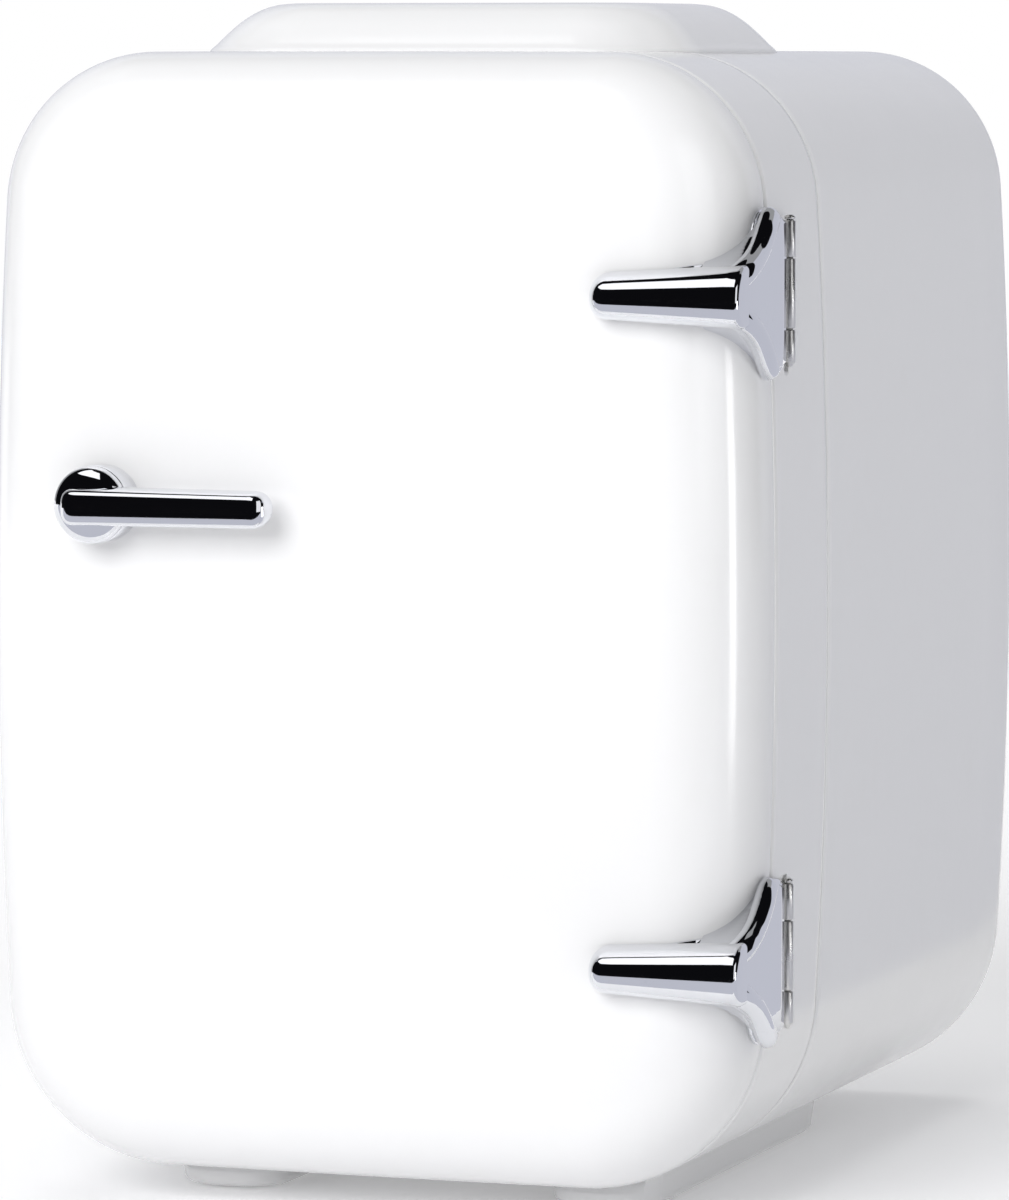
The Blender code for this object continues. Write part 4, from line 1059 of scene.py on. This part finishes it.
def skids():
    """Long feet with soft ends, trimmed by the underside of the body and recessed for the pads."""
    soft = 2.4 * MM
    for side in ("left", "right"):
        low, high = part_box("foot_skid_" + side)
        centre, half_x, half_y = plan_of("foot_skid_" + side)
        rings = []
        for i in range(9):
            angle = math.radians(90 * (8 - i) / 8)
            inwards = soft * (1 - math.cos(angle)) + 0.6 * MM
            z = low.z + soft * (1 - math.sin(angle))
            rings.append(flat_ring(half_x - inwards, half_y - inwards * 1.6, 9 * MM, z, centre))
        for z in (high.z - 0.4 * MM, high.z + 2.4 * MM):
            rings.append(flat_ring(half_x, half_y, 9.5 * MM, z, centre))
        name = "foot_moulding_" + side
        obj = loft(name, rings, "gloss_white", "cabinet", ["foot_skid_" + side])
        body = [body_ring(y, -0.12 * MM) for y in (-95 * MM, 100 * MM)]
        cutters = [loft("foot_seat_" + side, body, "gloss_white", None, [])]
        for end in ("front", "rear"):
            cutters.append(pad_recess(end, side))
        cut_away(obj, cutters)


def pad_recess(end, side):
    node = f"foot_pad_{end}_{side}"
    gap = 0.25 * MM
    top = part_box(node)[1].z + 0.2 * MM
    centre, half_x, half_y = plan_of(node)
    rings = [flat_ring(half_x + gap, half_y + gap, 3 * MM, z, centre) for z in (-MM, top)]
    return loft(f"pad_recess_{end}_{side}", rings, "gloss_white", None, [])


# ---------------------------------------------------------------- carried-over nodes


def dress_nodes():
    """Gives each CAD node the material of its slot."""
    slots = {row["node"]: row["material_slot"] for row in frame["record"]["subparts"]}
    for name, obj in frame["nodes"].items():
        obj.data.materials.clear()
        obj.data.materials.append(SURFACES[slots[name]].material)


# ---------------------------------------------------------------- stage


def emitter(name, location, size, power):
    """A soft rectangular lamp that lights surfaces without showing in the chrome."""
    light = bpy.data.lights.new(name, "AREA")
    light.shape = "RECTANGLE"
    light.size, light.size_y = size
    light.energy = power
    obj = bpy.data.objects.new(name, light)
    bpy.context.scene.collection.objects.link(obj)
    obj.location = location
    obj.rotation_euler = (LAMP_AIM - Vector(location)).to_track_quat("-Z", "Y").to_euler()
    obj.visible_glossy = False


def card(name, mesh_data, brightness, to_camera=False):
    """A studio card that is seen in reflections only, or by the camera only."""
    mesh = bpy.data.meshes.new(name)
    mesh_data.to_mesh(mesh)
    mesh_data.free()
    material = bpy.data.materials.new(name)
    material.use_nodes = True
    shader = material.node_tree.nodes["Principled BSDF"]
    shader.inputs["Base Color"].default_value = (0, 0, 0, 1)
    shader.inputs["Roughness"].default_value = 1.0
    shader.inputs["Specular IOR Level"].default_value = 0.0
    shader.inputs["Emission Color"].default_value = (*brightness, 1)
    shader.inputs["Emission Strength"].default_value = 1.0
    mesh.materials.append(material)
    obj = bpy.data.objects.new(name, mesh)
    bpy.context.scene.collection.objects.link(obj)
    obj.visible_camera = to_camera
    obj.visible_glossy = not to_camera
    obj.visible_diffuse = False
    obj.visible_shadow = False
    obj.visible_transmission = False


def flat_card(name, panels, brightness):
    """A card of flat panels, each a list of its four corners."""
    mesh_data = bmesh.new()
    for corners in panels:
        mesh_data.faces.new([mesh_data.verts.new(corner) for corner in corners])
    card(name, mesh_data, brightness)


def floor_panel(left, right, front, rear, height):
    return [(left, rear, height), (left, front, height), (right, front, height), (right, rear, height)]


def dome_patch(name, radius, azimuths, elevations, brightness):
    """Part of a sphere round the object. Azimuth 0 is in front of it and 90 to its right."""
    mesh_data = bmesh.new()
    rows = []
    steps = 24
    for i in range(steps + 1):
        up = math.radians(elevations[0] + (elevations[1] - elevations[0]) * i / steps)
        across = radius * math.cos(up)
        height = DOME_CENTRE + radius * math.sin(up)
        row = []
        for j in range(steps + 1):
            turn = math.radians(azimuths[0] + (azimuths[1] - azimuths[0]) * j / steps)
            place = (across * math.sin(turn), -across * math.cos(turn), height)
            row.append(mesh_data.verts.new(place))
        rows.append(row)
    for first, second in zip(rows, rows[1:]):
        for j in range(steps):
            mesh_data.faces.new((first[j], first[j + 1], second[j + 1], second[j]))
    card(name, mesh_data, brightness)


def floor():
    """Pale paper that glows a little more further away, so that it meets the backdrop unseen."""
    mesh_data = bmesh.new()
    add_loft(mesh_data, [circle(radius, 0, 48) for radius in (0.2, 0.6, 1.5, 4, 9)], cap_end=False)
    mesh = bpy.data.meshes.new("floor")
    mesh_data.to_mesh(mesh)
    mesh_data.free()
    obj = bpy.data.objects.new("floor", mesh)
    bpy.context.scene.collection.objects.link(obj)
    paper = Surface("floor_paper", (0.93, 0.93, 0.94), 0.9)
    paper.mottle(6, 0.006).emboss(paper.noise(700, 4.0), 0.05, 0.0002)
    paper.set(Specular_IOR_Level=0.1, Emission_Color=(1, 1, 1, 1))
    away = paper.node("ShaderNodeVectorMath", operation="LENGTH")
    paper.link(paper.position, away.inputs[0])
    glow = paper.ramp(away.outputs["Value"], 0.3, 2.2, 0.17, 0.7)
    paper.link(glow, paper.shader.inputs["Emission Strength"])
    mesh.materials.append(paper.material)


def studio():
    """World light, floor, a white backdrop, two lamps, and cards for the reflections."""
    scene = bpy.context.scene
    scene.view_settings.view_transform = "Standard"
    scene.world = bpy.data.worlds.new("studio")
    scene.world.use_nodes = True
    background = scene.world.node_tree.nodes["Background"]
    background.inputs["Color"].default_value = (0.98, 0.985, 1.0, 1)
    background.inputs["Strength"].default_value = 0.35
    floor()
    mesh_data = bmesh.new()
    rings = [circle(4.6, height, 72) for height in (0.001, 4.5)]
    add_loft(mesh_data, rings, cap_start=False, cap_end=False)
    card("backdrop", mesh_data, (1, 1, 1), True)
    dome_patch("black_front", 2.6, (-105, 130), (-3, 90), BLACK)
    dome_patch("pale_right", 2.5, (46, 78), (-2, 40), (0.95, 0.95, 0.97))
    dome_patch("black_overhead", 2.6, (130, 255), (62, 90), BLACK)
    dome_patch("white_top", 2.5, (-75, 5), (48, 74), (1.3, 1.3, 1.32))
    dome_patch("pale_rear", 2.4, (130, 235), (-3.2, 40), GREY)
    flat_card("black_floor", [floor_panel(-2.5, 2.5, -2.6, -0.55, 0.003)], BLACK)
    in_front = floor_panel(-2.5, 2.5, -0.549, -0.16, 0.003)
    to_the_right = floor_panel(0.15, 2.5, -0.3, 2.4, 0.002)
    flat_card("grey_floor", [in_front, to_the_right], GREY)
    strip = [(0.91, y, z) for y, z in ((-0.185, 0.0), (-0.055, 0.0), (-0.055, 0.2), (-0.185, 0.2))]
    flat_card("edge_strip", [strip], (6, 6, 6))
    emitter("key", (-0.35, -2.65, 1.35), (1.8, 1.5), 56)
    emitter("overhead", (-0.2, 0.1, 1.9), (1.6, 1.6), 12)


def camera():
    """Long lens from the front right, near the height of the object's top and tilted down a little."""
    data = bpy.data.cameras.new("camera")
    data.sensor_fit = "VERTICAL"
    data.sensor_width = 36
    data.sensor_height = 36
    data.lens = CAMERA_LENS
    data.clip_start = 0.05
    obj = bpy.data.objects.new("camera", data)
    bpy.context.scene.collection.objects.link(obj)
    away = Vector((math.sin(CAMERA_TURN), -math.cos(CAMERA_TURN), 0))
    sideways = Vector((math.cos(CAMERA_TURN), math.sin(CAMERA_TURN), 0))
    obj.location = CAMERA_PIVOT + away * CAMERA_DISTANCE + sideways * CAMERA_SIDESTEP
    obj.rotation_euler = (math.pi / 2 - CAMERA_DROP, 0, CAMERA_TURN)
    bpy.context.scene.camera = obj


def build():
    dress_nodes()
    door_shell()
    door_liner()
    door_gasket()
    door_handle()
    for place in ("upper", "lower"):
        hinge_strap(place)
    front_collar()
    main_shell()
    liner()
    shelf()
    top_housing()
    carry_handle()
    skids()
    studio()
    camera()


build()
